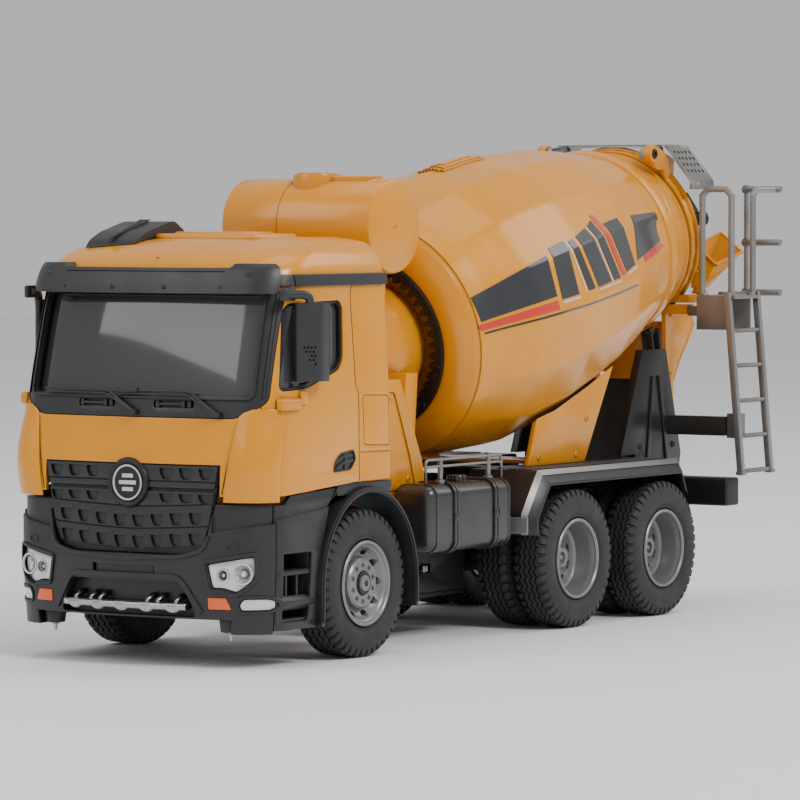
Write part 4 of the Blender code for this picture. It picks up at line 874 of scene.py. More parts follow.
def corner_deflector():
    """The left air deflector: a bowed strip that stands off the cab's corner, with a round top."""
    rings = []
    steps = 26
    for k in range(steps + 1):
        t = k / steps
        z = 88.0 + 49.0 * t
        top = max(0.0, (z - 130.0) / 7.0)
        inner_x = 59.6 + 6.6 * t + 7.0 * top ** 3
        outer_x = 84.0
        stand = 1.2 + 2.0 * math.sin(math.pi * min(1.0, t * 1.1)) * (1 - top)
        ring = []
        for i in range(15):
            u = i / 14
            x = inner_x + (outer_x - inner_x) * math.sin(u * math.pi / 2)
            point = Vector(on_nose(x, z))
            normal = Vector((math.sin(u * math.pi / 2) ** 1.5, -math.cos(u * math.pi / 2) - 0.15,
                             0)).normalized()
            ring.append((point, normal))
        lift = [stand * min(1.0, (0.35 + 2.2 * min(i, 14 - i) / 14)) for i in range(15)]
        far = [tuple(p + n * h) for (p, n), h in zip(ring, lift)]
        near = [tuple(p - n * 0.8) for p, n in ring]
        rings.append(far + near[::-1])
    return bevelled(loft(rings), 0.5, 2, 50)


def mirror_foot():
    """The yellow block under the door window that holds the mirror's lower arm."""
    block = box((82.0, 87.4), (-261.0, -243.5), (136.0, 142.6), 1.5, 3)
    lug = box((82.0, 86.4), (-243.0, -236.2), (138.6, 146.2), 1.2, 2)
    return group(block, lug)


def build_cab():
    """Pieces of the cab, its glazing, mirrors and roof."""
    piece("cab_shell_panels", cab_shell_shape(), "yellow", "truck", "cab_shell", 30)
    piece("corner_deflectors", sides(corner_deflector()), "yellow", "truck", angle=40)
    piece("mirror_feet", sides(mirror_foot()), "yellow", "truck")
    piece("door_handles", sides(door_handle()), "dark", "truck")
    piece("window_inserts", glazing_shape(), "glazing", "truck", "cab_glazing", 30)
    piece("windscreen_surround", windscreen_surround(), "dark", "truck", "windshield_frame", 34)
    piece("window_seals", sides(window_seal()), "black", "truck")
    piece("wipers", wipers(), "dark", "truck", angle=45)
    piece("visor_hood", visor_shape(), "dark", "truck", "sun_visor", 32)
    piece("roof_scoop", roof_scoop(), "dark", "truck", "roof_intake", 35)
    piece_pair("mirror", "housing", mirror_shape(), "dark", 32)


def door_handle():
    """The dark grip in the door's handle recess."""
    plug = plate(rounded_outline(offset_outline(HANDLE_OUTLINE, -0.25), 1.5), (78, 90), "x")
    keep(plug, skin(90.0, 120.0, 0.5, 2.4))
    rim = frame_plate(rounded_outline(offset_outline(HANDLE_OUTLINE, -0.5), 1.5), (78, 90), "x", 0.7)
    keep(rim, skin(90.0, 120.0, -0.4, 2.4))
    bars = []
    for offset in (0.0, 3.4):
        line = ribbon([(-208.6, 103.6 + offset), (-201.0, 106.6 + offset),
                       (-192.4, 107.4 + offset * 0.9)], 1.5)
        bars.append(bevelled(keep(plate(line, (78, 90), "x"), skin(90.0, 120.0, -0.3, 2.0)), 0.3, 2))
    post = keep(box((78, 90), (-200.4, -198.4), (102.5, 111.6)), skin(90.0, 120.0, -0.1, 2.0))
    return group(plug, bevelled(rim, 0.25, 2), post, *bars)


def glazing_shape():
    """One wrapped insert behind the windscreen and both door windows."""
    glass = skin(137.0, 196.4, 3.4, 5.0)
    return keep(glass, box((-100, 100), (-300, -192), (100, 210)))


def window_seal():
    """The black edging inside the left door window."""
    seal = frame_plate(rounded_outline(offset_outline(WINDOW_OUTLINE, -0.9), 3.4), (70, 90), "x", 1.5)
    return bevelled(keep(seal, skin(140.0, 198.0, 0.9, 3.3)), 0.3, 2)


def windscreen_surround():
    """Frame round the windscreen: a base with two grab slots, and a raised bead round the glass."""
    outline = rounded_outline(offset_outline(both_sides(FRAME_OUTLINE), -0.5), 4.0)
    opening = rounded_outline(both_sides(GLASS_OUTLINE), 4.0)
    base = keep(skin(130.0, 200.0, 0.4, 3.2), plate(outline, FRONT, "y"))
    cut(base, plate(opening, (-321.0, -225.0), "y"))
    for lo, hi in ((-37.0, -12.0), (13.5, 38.5)):
        slot = rounded_outline([(lo, 136.9), (hi, 136.9), (hi, 141.1), (lo, 141.1)], 1.4)
        cut(base, keep(plate(slot, FRONT, "y"), skin(130.0, 150.0, -1.0, 2.0)))
    bevelled(base, 0.45, 2, 40)
    bead = frame_plate(rounded_outline(both_sides([(73.0, 142.4), (72.0, 198.4)]), 4.2), FRONT, "y", 1.3)
    keep(bead, skin(130.0, 200.0, -0.6, 1.5))
    crease = frame_plate(rounded_outline(both_sides([(77.4, 139.4), (76.8, 201.0)]), 4.2), FRONT, "y",
                         0.9)
    keep(crease, skin(143.0, 200.0, -0.35, 1.5))
    parts = [bevelled(bead, 0.35, 2), bevelled(crease, 0.25, 2)]
    for lo, hi in ((-37.0, -12.0), (13.5, 38.5)):
        for x in (lo + 2.6, hi - 6.4, hi - 2.6):
            y = on_nose(x, 139.0)[1]
            parts.append(box((x - 1.2, x + 1.2), (y - 0.1, y + 2.2), (137.4, 140.6), 0.4, 2))
        grip = [on_nose(lo + 4 + (hi - lo - 11) * i / 6, 139.0, -0.7) for i in range(7)]
        parts.append(tube(grip, 0.8, 12))
    return group(base, *parts)


def nose_path(points, out, step=3.0):
    """A path over the cab's front through (x, z) points, closely stepped."""
    path = []
    for (x0, z0), (x1, z1) in zip(points, points[1:]):
        count = max(1, int(math.hypot(x1 - x0, z1 - z0) / step))
        for i in range(count):
            t = i / count
            path.append(Vector(on_nose(x0 + (x1 - x0) * t, z0 + (z1 - z0) * t, out)))
    return path + [Vector(on_nose(*points[-1], out))]


def wiper(blade_left, blade_right, pivot):
    """One wiper: two close rails over the glass that bend down to a flat arm and its pivot cap."""
    rails = []
    for drop, radius in ((0.0, 0.62), (1.7, 0.5)):
        corner = (blade_right - 1.6 * (drop > 0), 145.9 - drop)
        path = [(blade_left, 145.9 - drop), corner, (pivot[0] - 0.8, pivot[1] + 1.2 - drop * 0.2)]
        flat = rounded_outline_open(path, 2.5)
        rails.append(tube(nose_path(flat, 2.2, 2.0), radius, 10))
    arm = [(blade_right + 3.6, 142.9), (blade_right + 7.0, 141.6), (pivot[0] + 2.6, pivot[1] - 0.6),
           (pivot[0] - 2.4, pivot[1] - 1.0)]
    plate_arm = keep(plate(rounded_outline(arm, 0.8), FRONT, "y"), skin(128.0, 150.0, -2.6, 0.4))
    rails.append(bevelled(plate_arm, 0.4, 2))
    cap_at = Vector(on_nose(pivot[0], pivot[1], 2.4))
    rails.append(cylinder(cap_at + Vector((0, 2.4, 0)), cap_at + Vector((0, -0.5, 0)), 1.7, 20, 1.4, 0.2))
    return group(*rails)


def rounded_outline_open(points, radius):
    """A flat open path with its inner corners rounded."""
    path = rounded_path([Vector((*p, 0)) for p in points], radius)
    return [(p.x, p.y) for p in path]


def wipers():
    """The two windscreen wipers."""
    left = wiper(-60.5, -15.8, (2.4, 134.6))
    right = wiper(-11.0, 36.6, (54.4, 133.9))
    y = on_nose(-2.4, 146.0)[1]
    clip = box((-9.2, 4.4), (y - 3.6, y - 1.2), (145.0, 147.4), 0.5, 2)
    return group(left, right, clip)


def visor_shape():
    """Bowed visor with raised corner tabs, a shallow crease, rivets, and strips along the roof's sides."""
    visor = body(197.6, 213.4, -1.6, 7.4)
    cut(visor, keep(body(190.0, 207.0, 1.2, 7.2), box((-66, 66), (-320, -200), (180, 230))))
    cut(visor, body(190.0, 220.0, -0.3))
    keep(visor, plate(rounded_outline([(-320, 180), (-256, 180), (-256, 197.8), (-251.4, 212.5),
                                       (-262, 225), (-320, 225)], 2.0), (-100, 100), "x"))
    notch = rounded_outline([(-55.0, 211.0), (55.0, 211.0), (57.5, 220.0), (-57.5, 220.0)], 2.0)
    cut(visor, plate(notch, (-320, -225), "y"))
    crease = plate(ribbon([(-52.0, 209.0), (52.0, 209.0)], 0.7), (-320, -225), "y")
    cut(visor, keep(crease, skin(190.0, 215.0, -3.0, -1.0, 7.4)))
    bevelled(visor, 0.5, 2, 35)
    rivets = []
    for x in (-51.0, -17.0, 17.0, 51.0):
        y = on_nose(x, 200.8)[1] - 7.4 - 1.6 + (0.0 if abs(x) < 50 else 0.3)
        rivets.append(screw((x, y, 200.8), (0, -1, 0.2), 1.25, 0.8))
    for side in (-1, 1):
        p = on_nose(side * 66.0, 207.5)
        rivets.append(cylinder((p[0], p[1] - 8.2, 207.5), (p[0] + side * 0.6, p[1] - 9.8, 207.7), 1.9, 20,
                               1.6, 0.3))
    strip = body(201.4, 207.6, -1.6)
    cut(strip, body(190.0, 220.0, -0.3))
    keep(strip, box((60, 100), (-250.9, -156.0), (190, 220)))
    cut(strip, box((80, 90), (-243.4, -242.6), (190, 220)))
    bevelled(strip, 0.5, 2, 35)
    return group(visor, strip, mirrored(strip), *rivets)


def roof_scoop():
    """The scoop on the right of the roof: round nose, rising back, recessed rear mouth."""
    side_view = [(-236.0, 213.0), (-236.0, 219.5), (-232.0, 225.0), (-222.0, 229.6), (-200.0, 235.2),
                 (-196.0, 235.4), (-186.0, 229.5), (-184.0, 214.0)]
    scoop = plate(rounded_outline(side_view, 3.0), (-62.0, -30.0), "x")
    bevelled(scoop, 3.2, 5, 40)
    roof = transform(body(150.0, 227.0, -0.3), Matrix.Translation((0, 0, 0.3)))
    cut(scoop, roof)
    mouth = plate([(-192.0, 226.5), (-180.0, 220.0), (-180.0, 231.0), (-190.5, 233.0)], (-58.0, -34.0),
                  "x")
    cut(scoop, mouth)
    rib = keep(plate(ribbon([(-234.0, 225.0), (-197.0, 238.0)], 3.0), (-46.8, -45.2), "x"),
               box((-50, -40), (-233, -197), (215, 236.4)))
    return group(scoop, bevelled(rib, 0.4, 2))


def mirror_shape():
    """The left mirror: a rounded housing with a dot pattern low on its outer side, its arm and foot."""
    plan = [(84.2, -246.5), (86.5, -247.6), (94.8, -237.5), (95.0, -234.5), (93.6, -227.0),
            (91.6, -226.0), (84.4, -236.0)]
    head = plate(rounded_outline(plan, 2.0, 4), (151.2, 192.6), "z")
    bevelled(head, 1.9, 4, 40)
    glass = plate(rounded_outline([(-7.0, 154.0), (7.0, 154.0), (7.0, 189.6), (-7.0, 189.6)], 1.6),
                  (-0.5, 0.5), "y")
    dots = []
    for row in range(7):
        for col in range(4):
            if col >= 4 - (7 - row) * 0.7:
                continue
            t = 0.78 - col * 0.155 - (row % 2) * 0.07
            x, y = 86.5 + (94.8 - 86.5) * t, -247.6 + (247.6 - 237.5) * t
            dots.append(cylinder((x - 1.0, y + 0.9, 156.0 + row * 2.2),
                                 (x + 1.2, y - 1.0, 156.0 + row * 2.2), 0.72, 6))
    pattern = group(*dots)
    cut(head, pattern)
    turn = Matrix.Translation((88.6, -231.6, 0)) @ Matrix.Rotation(math.atan2(10.1, 8.3), 4, "Z")
    transform(glass, turn)
    arm = tube([(83.9, -256, 197.2), (88.6, -246, 197.2), (90.0, -241, 196.2), (90.0, -240, 189.0)], 2.3,
               16, 2.4)
    foot = box((83.2, 85.9), (-259, -247), (193.8, 200.6), 0.9, 2)
    lower = tube([(84.0, -241.0, 149.0), (88.0, -240.0, 149.6), (89.0, -239.0, 153.0)], 1.4, 12, 1.5)
    return group(head, glass, arm, foot, lower)


# ---------------------------------------------------------------- front end

GRILLE_Y = -279.5
GRILLE_BOW = 2.5
GRILLE_OUTLINE = [(36.0, 60.0), (47.0, 62.5), (50.0, 68.0), (57.0, 107.0)]
HEADLIGHT_OUTLINE = [(51.5, 55.0), (75.5, 59.4), (76.0, 50.0), (72.5, 44.5), (66.5, 41.0), (60.0, 43.0),
                     (54.0, 43.0)]
FOG_OUTLINE = [(69.0, 31.0), (81.5, 31.2), (84.0, 34.3), (81.5, 37.6), (70.5, 37.6), (68.2, 34.3)]
MARKER_OUTLINE = [(51.2, 31.2), (64.6, 31.2), (61.6, 38.0), (51.2, 38.0)]


def grille_form(nose_y):
    """The grille's own nearly flat form, set back from the bumper."""
    rings = []
    for z in (50.0, 112.0):
        front = [(-60.0 + 5.0 * i, nose_y + GRILLE_BOW * (i / 12 - 1) ** 2) for i in range(25)]
        rings.append([(x, y, z) for x, y in front + [(60.0, -240.0), (-60.0, -240.0)]])
    return loft(rings)


def grille_patch(outline, front, back):
    """A plate on the grille's form between two depths behind its front."""
    wall = cut(grille_form(GRILLE_Y + front), grille_form(GRILLE_Y + back))
    return keep(wall, plate(outline, FRONT, "y"))


def grille_half(z):
    """Half width of the grille at a height."""
    return 50.0 + 7.0 * (z - 68.0) / 39.0 if z > 68 else 47.0 + 3.0 * (z - 62.5) / 5.5


def row_edge(side_z, drop, inset, steps=12):
    """One bowed edge of a grille row, from right to left: lowest in the middle."""
    half = grille_half(side_z) - inset
    points = []
    for i in range(-steps, steps + 1):
        x = half * i / steps
        inward = 1 - abs(x) / half
        points.append((x, side_z - drop * inward * (1 - 0.35 * inward)))
    return points


def pocket(x, top, width, height):
    """A shield-shaped recess in a grille row."""
    outline = [(x - width / 2, top), (x + width / 2, top), (x + width / 2 - 0.9, top - height * 0.62),
               (x + width / 2 - 2.2, top - height), (x - width / 2 + 2.2, top - height),
               (x - width / 2 + 0.9, top - height * 0.62)]
    return plate(rounded_outline(outline, 0.9, 3), FRONT, "y")


def grille_row(top, bottom, pockets):
    """One row of the grille between an upper and a lower edge."""
    row = grille_patch(bottom + top[::-1], 0.0, 2.4)
    cut(row, *[pocket(*p) for p in pockets])
    return bevelled(row, 0.3, 2, 40)


def grille_shape():
    """Base panel with four rows: pockets either side of the badge above, a toothed pair below."""
    base = grille_patch(rounded_outline(both_sides(GRILLE_OUTLINE), 2.0), 1.5, 4.0)
    upper = [(side * x, 105.4, 9.2, 6.0) for side in (-1, 1) for x in (24.2, 36.6, 49.0)]
    second = [(side * x, 91.8, 9.4, 4.8) for side in (-1, 1) for x in (24.2, 36.6, 48.6)]
    third = [(-42.6 + 12.17 * i, 82.6 - 3.0 * (1 - abs(-42.6 + 12.17 * i) / 52), 8.6,
              6.3) for i in range(8)]
    fourth = [(-42.0 + 12.0 * i, 71.6 - 3.2 * (1 - abs(-42.0 + 12.0 * i) / 50), 8.2,
               6.4) for i in range(8)]
    rows = [grille_row(row_edge(106.7, 0, 0.6), row_edge(98.7, 0, 0.6), upper),
            grille_row(row_edge(97.9, 0, 0.6), row_edge(94.9, 0, 0.6), []),
            grille_row(row_edge(93.0, 0, 0.6), row_edge(87.3, 3.7, 0.6), second),
            grille_row(row_edge(86.5, 3.7, 0.6), row_edge(75.6, 4.0, 0.6), third),
            grille_row(row_edge(74.8, 4.0, 0.6), row_edge(65.2, 4.6, 1.4), fourth)]
    for z in (98.3, 94.2):
        rows.append(bevelled(grille_patch(row_edge(z + 0.25, 0, 1.4) + row_edge(z - 0.25, 0, 1.4)[::-1],
                                          0.9, 2.4),
                             0.15, 1))
    return group(base, *rows)


def badge():
    """A plain round badge: dark dish and ring."""
    origin = Matrix.Translation((0.0, GRILLE_Y, 97.0)) @ Matrix.Rotation(math.pi / 2, 4, "X")
    dish = turned([(-2.4, 0.0), (-2.4, 13.4), (0.2, 13.4), (1.5, 12.6), (1.9, 11.4), (1.5, 10.6),
                   (0.9, 10.2), (0.9, 0.0)], 64, origin)
    return bevelled(dish, 0.25, 2, 40)


def badge_ring():
    """The badge's white ring with a plain three-bar mark, which stands for no maker."""
    origin = Matrix.Translation((0.0, GRILLE_Y, 97.0)) @ Matrix.Rotation(math.pi / 2, 4, "X")
    ring = turned([(0.6, 8.5), (1.6, 8.6), (1.6, 9.5), (0.6, 9.6)], 64, origin)
    y = GRILLE_Y
    bars = [box((-w, w), (y - 1.5, y - 0.6), (z - 1.1, z + 1.1), 0.3, 2)
            for w, z in ((3.6, 100.6), (5.6, 97.0), (3.6, 93.4))]
    return group(ring, *bars)


BUMPER_Z = (10.0, 90.0)         # a span that holds the whole bumper


def nose_patch(outline, outer, inner, z=(16.0, 90.0)):
    """A plate on the bumper's form between two depths."""
    return keep(skin(z[0], z[1], outer, inner), plate(outline, FRONT, "y"))


def bumper_shape():
    """The bumper with its lower opening and recesses for lights and grille."""
    bumper = skin(18.5, 86.6, 0.0, 8.0)
    keep(bumper, box((-100, 100), (-300, -262.4), (0, 100)))
    opening = offset_outline(both_sides(GRILLE_OUTLINE[:-1] + [(53.6, 88.0)]), 0.6)
    cut(bumper, plate(rounded_outline(opening, 2.0), FRONT, "y"))
    cut(bumper, plate([(-62, 10), (62, 10), (64, 26), (-64, 26)], FRONT, "y"))
    intake = rounded_outline([(-44.5, 27.0), (44.5, 27.0), (36.6, 45.6), (-36.6, 45.6)], 3.0)
    cut(bumper, nose_patch(intake, -3.0, 6.0, BUMPER_Z))
    recess = rounded_outline([(-20.2, 48.0), (20.2, 48.0), (19.6, 53.9), (-19.6, 53.9)], 0.8)
    cut(bumper, nose_patch(recess, -3.0, 1.3, BUMPER_Z))
    for side in (-1, 1):
        light = rounded_outline(offset_outline([(side * x, z) for x, z in HEADLIGHT_OUTLINE], 0.5), 1.2)
        cut(bumper, nose_patch(light, -3.0, 6.0, BUMPER_Z))
        lo, hi = sorted((side * 18.9, side * 20.2))
        cut(bumper, nose_patch([(lo, 48.0), (hi, 48.0), (hi, 54.0), (lo, 54.0)], -3.0, 3.4, BUMPER_Z))
        fog = rounded_outline([(side * x, z) for x, z in FOG_OUTLINE], 2.0)
        cut(bumper, nose_patch(fog, -3.0, 3.0, BUMPER_Z))
        marker = rounded_outline([(side * x, z) for x, z in MARKER_OUTLINE], 0.8)
        cut(bumper, nose_patch(marker, -3.0, 1.6, BUMPER_Z))
        shelf = [(side * x, z) for x, z in ((53.0, 71.6), (64.0, 73.4), (76.0, 75.6), (90.0, 78.0),
                                            (90.0, 92.0), (53.0, 92.0))]
        cut(bumper, nose_patch(shelf, -3.0, 1.5, (10.0, 92.0)))
    bevelled(bumper, 0.55, 2, 40)
    return group(bumper, *bumper_trim())


def bumper_trim():
    """Raised rims round the lights and the lower opening, the grille's lower border and the tow covers."""
    rim = [(-47.6, 29.5), (-35.4, 48.2), (35.4, 48.2), (47.6, 29.5)]
    parts = [bevelled(nose_patch(ribbon(rounded_outline_open(rim, 5.0), 2.6), -1.0, 2.0), 0.6, 2)]
    border = [(-51.8, 70.0), (-48.6, 62.2), (-36.6, 59.0), (0.0, 57.0), (36.6, 59.0), (48.6, 62.2),
              (51.8, 70.0)]
    parts.append(bevelled(nose_patch(ribbon(rounded_outline_open(border, 4.0), 1.8), -0.7, 2.0), 0.5, 2))
    for side in (-1, 1):
        light = [(side * x, z) for x, z in HEADLIGHT_OUTLINE]
        ring = frame_plate(rounded_outline(offset_outline(light, 1.9), 2.0), FRONT, "y", 1.5)
        parts.append(bevelled(keep(ring, skin(36.0, 66.0, -0.8, 2.0)), 0.45, 2))
        fog = rounded_outline(offset_outline([(side * x, z) for x, z in FOG_OUTLINE], 0.9), 2.2)
        parts.append(bevelled(keep(frame_plate(fog, FRONT, "y", 1.2), skin(26.0, 42.0, -0.5, 2.0)), 0.35,
                              2))
        tow = rounded_outline([(side * 62.9, 62.8), (side * 68.6, 63.2), (side * 68.4, 66.4),
                               (side * 62.9, 66.0)], 1.4)
        parts.append(bevelled(keep(frame_plate(tow, FRONT, "y", 0.7), skin(60.0, 70.0, -0.4, 1.0)), 0.2,
                              2))
        x, y, _ = on_nose(side * 58.0, 24.0)
        parts.append(cylinder((x, y + 9.0, 26.0), (x, y + 9.0, 19.0), 6.2, 32, 5.2, 0.5))
    return parts


def bumper_screws():
    """A screw and its pin under each of the bumper's corners."""
    shapes = []
    for side in (-1, 1):
        x, y, _ = on_nose(side * 58.0, 24.0)
        shapes.append(screw((x, y + 9.0, 19.2), (0, 0, -1), 2.4, 1.4))
        shapes.append(cylinder((x, y + 9.0, 18.4), (x, y + 9.0, 14.6), 1.1, 16, 0.9))
    return group(*shapes)


def headlight_shape():
    """The left headlight: a bright moulding with a small and a large round reflector."""
    lamp = nose_patch(rounded_outline(HEADLIGHT_OUTLINE, 1.2), 0.9, 5.6, (38.0, 62.0))
    bowls = []
    for x, z, radius in ((59.6, 49.6, 3.1), (70.4, 50.6, 5.0)):
        px, py, _ = on_nose(x, z, -0.6)
        place = Matrix.Translation((px, py, z)) @ turn_to((0.25 * (x - 52) / 20, -1, 0))
        cut(lamp, turned([(-3.4, 0.0), (-3.2, radius * 0.45), (-2.0, radius * 0.8), (0.0, radius),
                          (3.0, radius * 1.1), (3.0, 0.0)], 40, place))
        bowls.append(turned([(-3.6, 0.0), (-3.4, radius * 0.42), (-2.2, radius * 0.42),
                             (-1.2, radius * 0.3), (-0.9, 0.0)], 28, place))
        bowls.append(turned([(-0.5, radius * 0.96), (0.35, radius), (0.35, radius * 1.16),
                             (-0.8, radius * 1.2)], 40, place))
    return group(bevelled(lamp, 0.3, 2, 50), *bowls)


PRONG_XS = (-33.0, -22.0, -15.5, 15.5, 22.0, 33.0)
SKID_CURVE = 0.0022             # how far the skid plate falls back from its middle, per mm squared


def skid_shape():
    """The bright plate with a scalloped lower front edge and its tie-down prongs."""
    rings = []
    for i in range(61):
        x = -40.0 + 80.0 * i / 60
        front = -288.0 + SKID_CURVE * x * x
        wave = max(0.0, math.cos(2 * math.pi * x / 16.0)) ** 0.7 * 1.5
        taper = min(1.0, (40.2 - abs(x)) / 2.0)
        rings.append([(x, front + 8.0, 34.3), (x, front + 1.0, 34.3), (x, front, 33.6),
                      (x, front + 0.3, 31.2 - wave * taper), (x, front + 1.6, 30.4 - wave * taper),
                      (x, front + 8.0, 31.8)])
    body_plate = bevelled(loft(rings), 0.2, 1, 40)
    prongs = []
    for x in PRONG_XS:
        y = -285.0 + SKID_CURVE * x * x
        prongs.append(tube([(x, y, 33.5), (x, y + 0.5, 35.6), (x + 1.2, y + 4.0, 37.4)], 1.15, 12, 1.0))
    return group(body_plate, *prongs)


def prong_tips():
    """Dark caps on the tie-down prongs."""
    caps = []
    for x in PRONG_XS:
        y = -285.0 + SKID_CURVE * x * x
        caps.append(cylinder((x + 0.6, y + 2.2, 36.5), (x + 1.6, y + 5.4, 38.0), 1.9, 20, 1.6, 0.4))
    return group(*caps)


# ---------------------------------------------------------------- steps and wheel arches

ARCH_CENTRE = (FRONT_AXLE_Y - 0.2, WHEEL_R)


def arch_path(radii, foot_front, foot_rear, steps=36):
    """Side view of the wheel arch: straight legs and an elliptical top."""
    top = []
    for i in range(steps + 1):
        angle = math.pi * (1 - i / steps)
        top.append((ARCH_CENTRE[0] + radii[0] * math.cos(angle),
                    ARCH_CENTRE[1] + radii[1] * math.sin(angle)))
    return [(top[0][0], foot_front)] + top + [(top[-1][0], foot_rear)]


def fender_shape():
    """The left lower cab side: side panel, step well with two treads, and the wheel arch."""
    panel = skin(20.0, 95.9, 0.0, 3.5)
    side_view = [(-261.8, 20.0), (-222.4, 20.0), (-222.4, 60.0), (-215.0, 84.0), (-205.0, 93.2),
                 (-250.0, 90.8), (-255.0, 86.4), (-261.8, 86.4)]
    keep(panel, plate(side_view, (50.0, 100.0), "x"))
    well_mouth = rounded_outline([(-257.2, 24.2), (-235.2, 24.2), (-233.5, 30.0), (-231.6, 60.6),
                                  (-257.2, 60.6)], 1.2)
    cut(panel, plate(well_mouth, (66.0, 100.0), "x"))
    ledge = plate([(-270.0, 78.4), (-264.0, 78.8), (-214.0, 83.4), (-205.0, 96.0), (-270.0, 96.0)],
                  (60.0, 100.0), "x")
    cut(panel, keep(ledge, skin(70.0, 97.0, -2.0, 1.1)))
    bevelled(panel, 0.5, 2, 40)
    outer, inner = arch_path((47.2, 52.3), 20.0, 25.0), arch_path((44.2, 49.4), 20.0, 25.0)
    band = plate(outer + inner[::-1], (60.0, 87.4), "x")
    seam = plate([(-179.0, 80.0), (-178.3, 80.0), (-178.3, 100.0), (-179.0, 100.0)], (59.0, 89.0), "x")
    seam_ring = arch_path((49.0, 54.0), 20.0, 25.0) + arch_path((46.6, 51.7), 20.0, 25.0)[::-1]
    cut(band, keep(seam, plate(seam_ring, (58.0, 90.0), "x")))
    bevelled(band, 0.8, 3, 40)
    lip = plate(arch_path((46.2, 51.3), 22.0, 27.0) + arch_path((45.0, 50.2), 22.0, 27.0)[::-1],
                (84.0, 88.2), "x")
    well = box((62.0, 83.0), (-261.6, -230.5), (24.0, 64.5))
    cut(well, box((64.0, 90.0), (-259.6, -232.5), (26.0, 62.5)))
    rim_outer = arch_path((47.0, 52.0), 20.0, 25.0)
    trim = box((80.0, 84.4), (-206.0, -153.5), (88.6, 95.0))
    cut(trim, plate(rim_outer, (50.0, 100.0), "x"))
    return group(panel, band, bevelled(lip, 0.4, 2), bevelled(well, 0.4, 2), bevelled(trim, 0.4, 2),
                 *treads(), screw((84.6, -227.0, 61.0), (1, 0, 0), 1.3, 0.5))


def treads():
    """Two step treads; the upper has a saw-toothed top."""
    shapes = [box((63.0, 83.2), (-260.6, -231.5), (33.5, 34.9), 0.3, 1)]
    shapes.append(box((63.0, 84.4), (-260.6, -231.5), (49.0, 50.9), 0.4, 2))
    count = 15
    for i in range(count):
        y = -258.6 + 25.6 * i / (count - 1)
        shapes.append(cylinder((64.0, y, 51.0), (84.0, y, 51.0), 0.75, 8, round_edge=0.1))
    for y in (-251.5, -241.5):
        shapes.append(box((80.4, 82.4), (y - 0.8, y + 0.8), (34.5, 49.2), 0.3, 1))
    return shapes


def build_front():
    """Pieces of the bumper, grille, lights and lower cab sides."""
    piece("bumper_moulding", bumper_shape(), "dark", "truck", "front_bumper", 34)
    piece("grille_rows", grille_shape(), "dark", "truck", "grille", 30)
    piece("badge_dish", badge(), "black", "truck")
    piece("badge_ring", badge_ring(), "decal_white", "truck")
    piece_pair("headlight", "lens", headlight_shape(), "lamp", 30)
    fog = nose_patch(rounded_outline(offset_outline(FOG_OUTLINE, -0.5), 2.0), 0.2, 3.6)
    piece("fog_lamps", sides(bevelled(fog, 0.7, 3, 40)), "lamp", "truck")
    marker = nose_patch(rounded_outline(offset_outline(MARKER_OUTLINE, -0.3), 0.7), -0.3, 2.4)
    piece("side_markers", sides(bevelled(marker, 0.35, 2, 40)), "orange", "truck")
    piece("bumper_screws", bumper_screws(), "steel", "truck")
    piece("skid_plate_shape", skid_shape(), "steel", "truck", "skid_plate", 30)
    piece("prong_tips", prong_tips(), "black", "truck")
    piece_pair("fender", "moulding", fender_shape(), "dark", 32)


# ---------------------------------------------------------------- drum

DRUM_FACETS = 16
DRUM_OUTLINE = [(-23.5, 53.0), (-21.0, 61.0), (-13.5, 69.4), (2.0, 72.0), (20.0, 76.6), (38.0, 80.8),
                (57.0, 82.7), (97.0, 82.1), (134.0, 78.2), (165.0, 73.9), (200.0, 66.2), (226.0, 58.9)]
ROLLER_LIFT = 63.8              # from the drum's axis to a roller's
ROLLER_ANGLE = 34.0             # degrees each side of straight down
ROLLER_S = 230.6


def drum_radius(s, angle):
    """The drum's outer radius: round at the front, with wide soft facets over the bulge."""
    radius = DRUM_OUTLINE[-1][1]
    for (s0, r0), (s1, r1) in zip(DRUM_OUTLINE, DRUM_OUTLINE[1:]):
        if s0 <= s <= s1:
            radius = r0 + (r1 - r0) * (s - s0) / (s1 - s0)
    width = 2 * math.pi / DRUM_FACETS
    off = (angle % width) - width / 2
    flat = math.cos(width / 2) / math.cos(off)
    share = min(1.0, max(0.0, (s + 2.0) / 28.0)) * min(1.0, max(0.0, (224.5 - s) / 3.0))
    return radius * (1 + share * (flat - 1))


def drum_point(s, angle, lift):
    """A point a small lift off the drum's surface."""
    radius = drum_radius(s, angle) + lift
    return drum_matrix() @ Vector((radius * math.cos(angle), -radius * math.sin(angle), s))


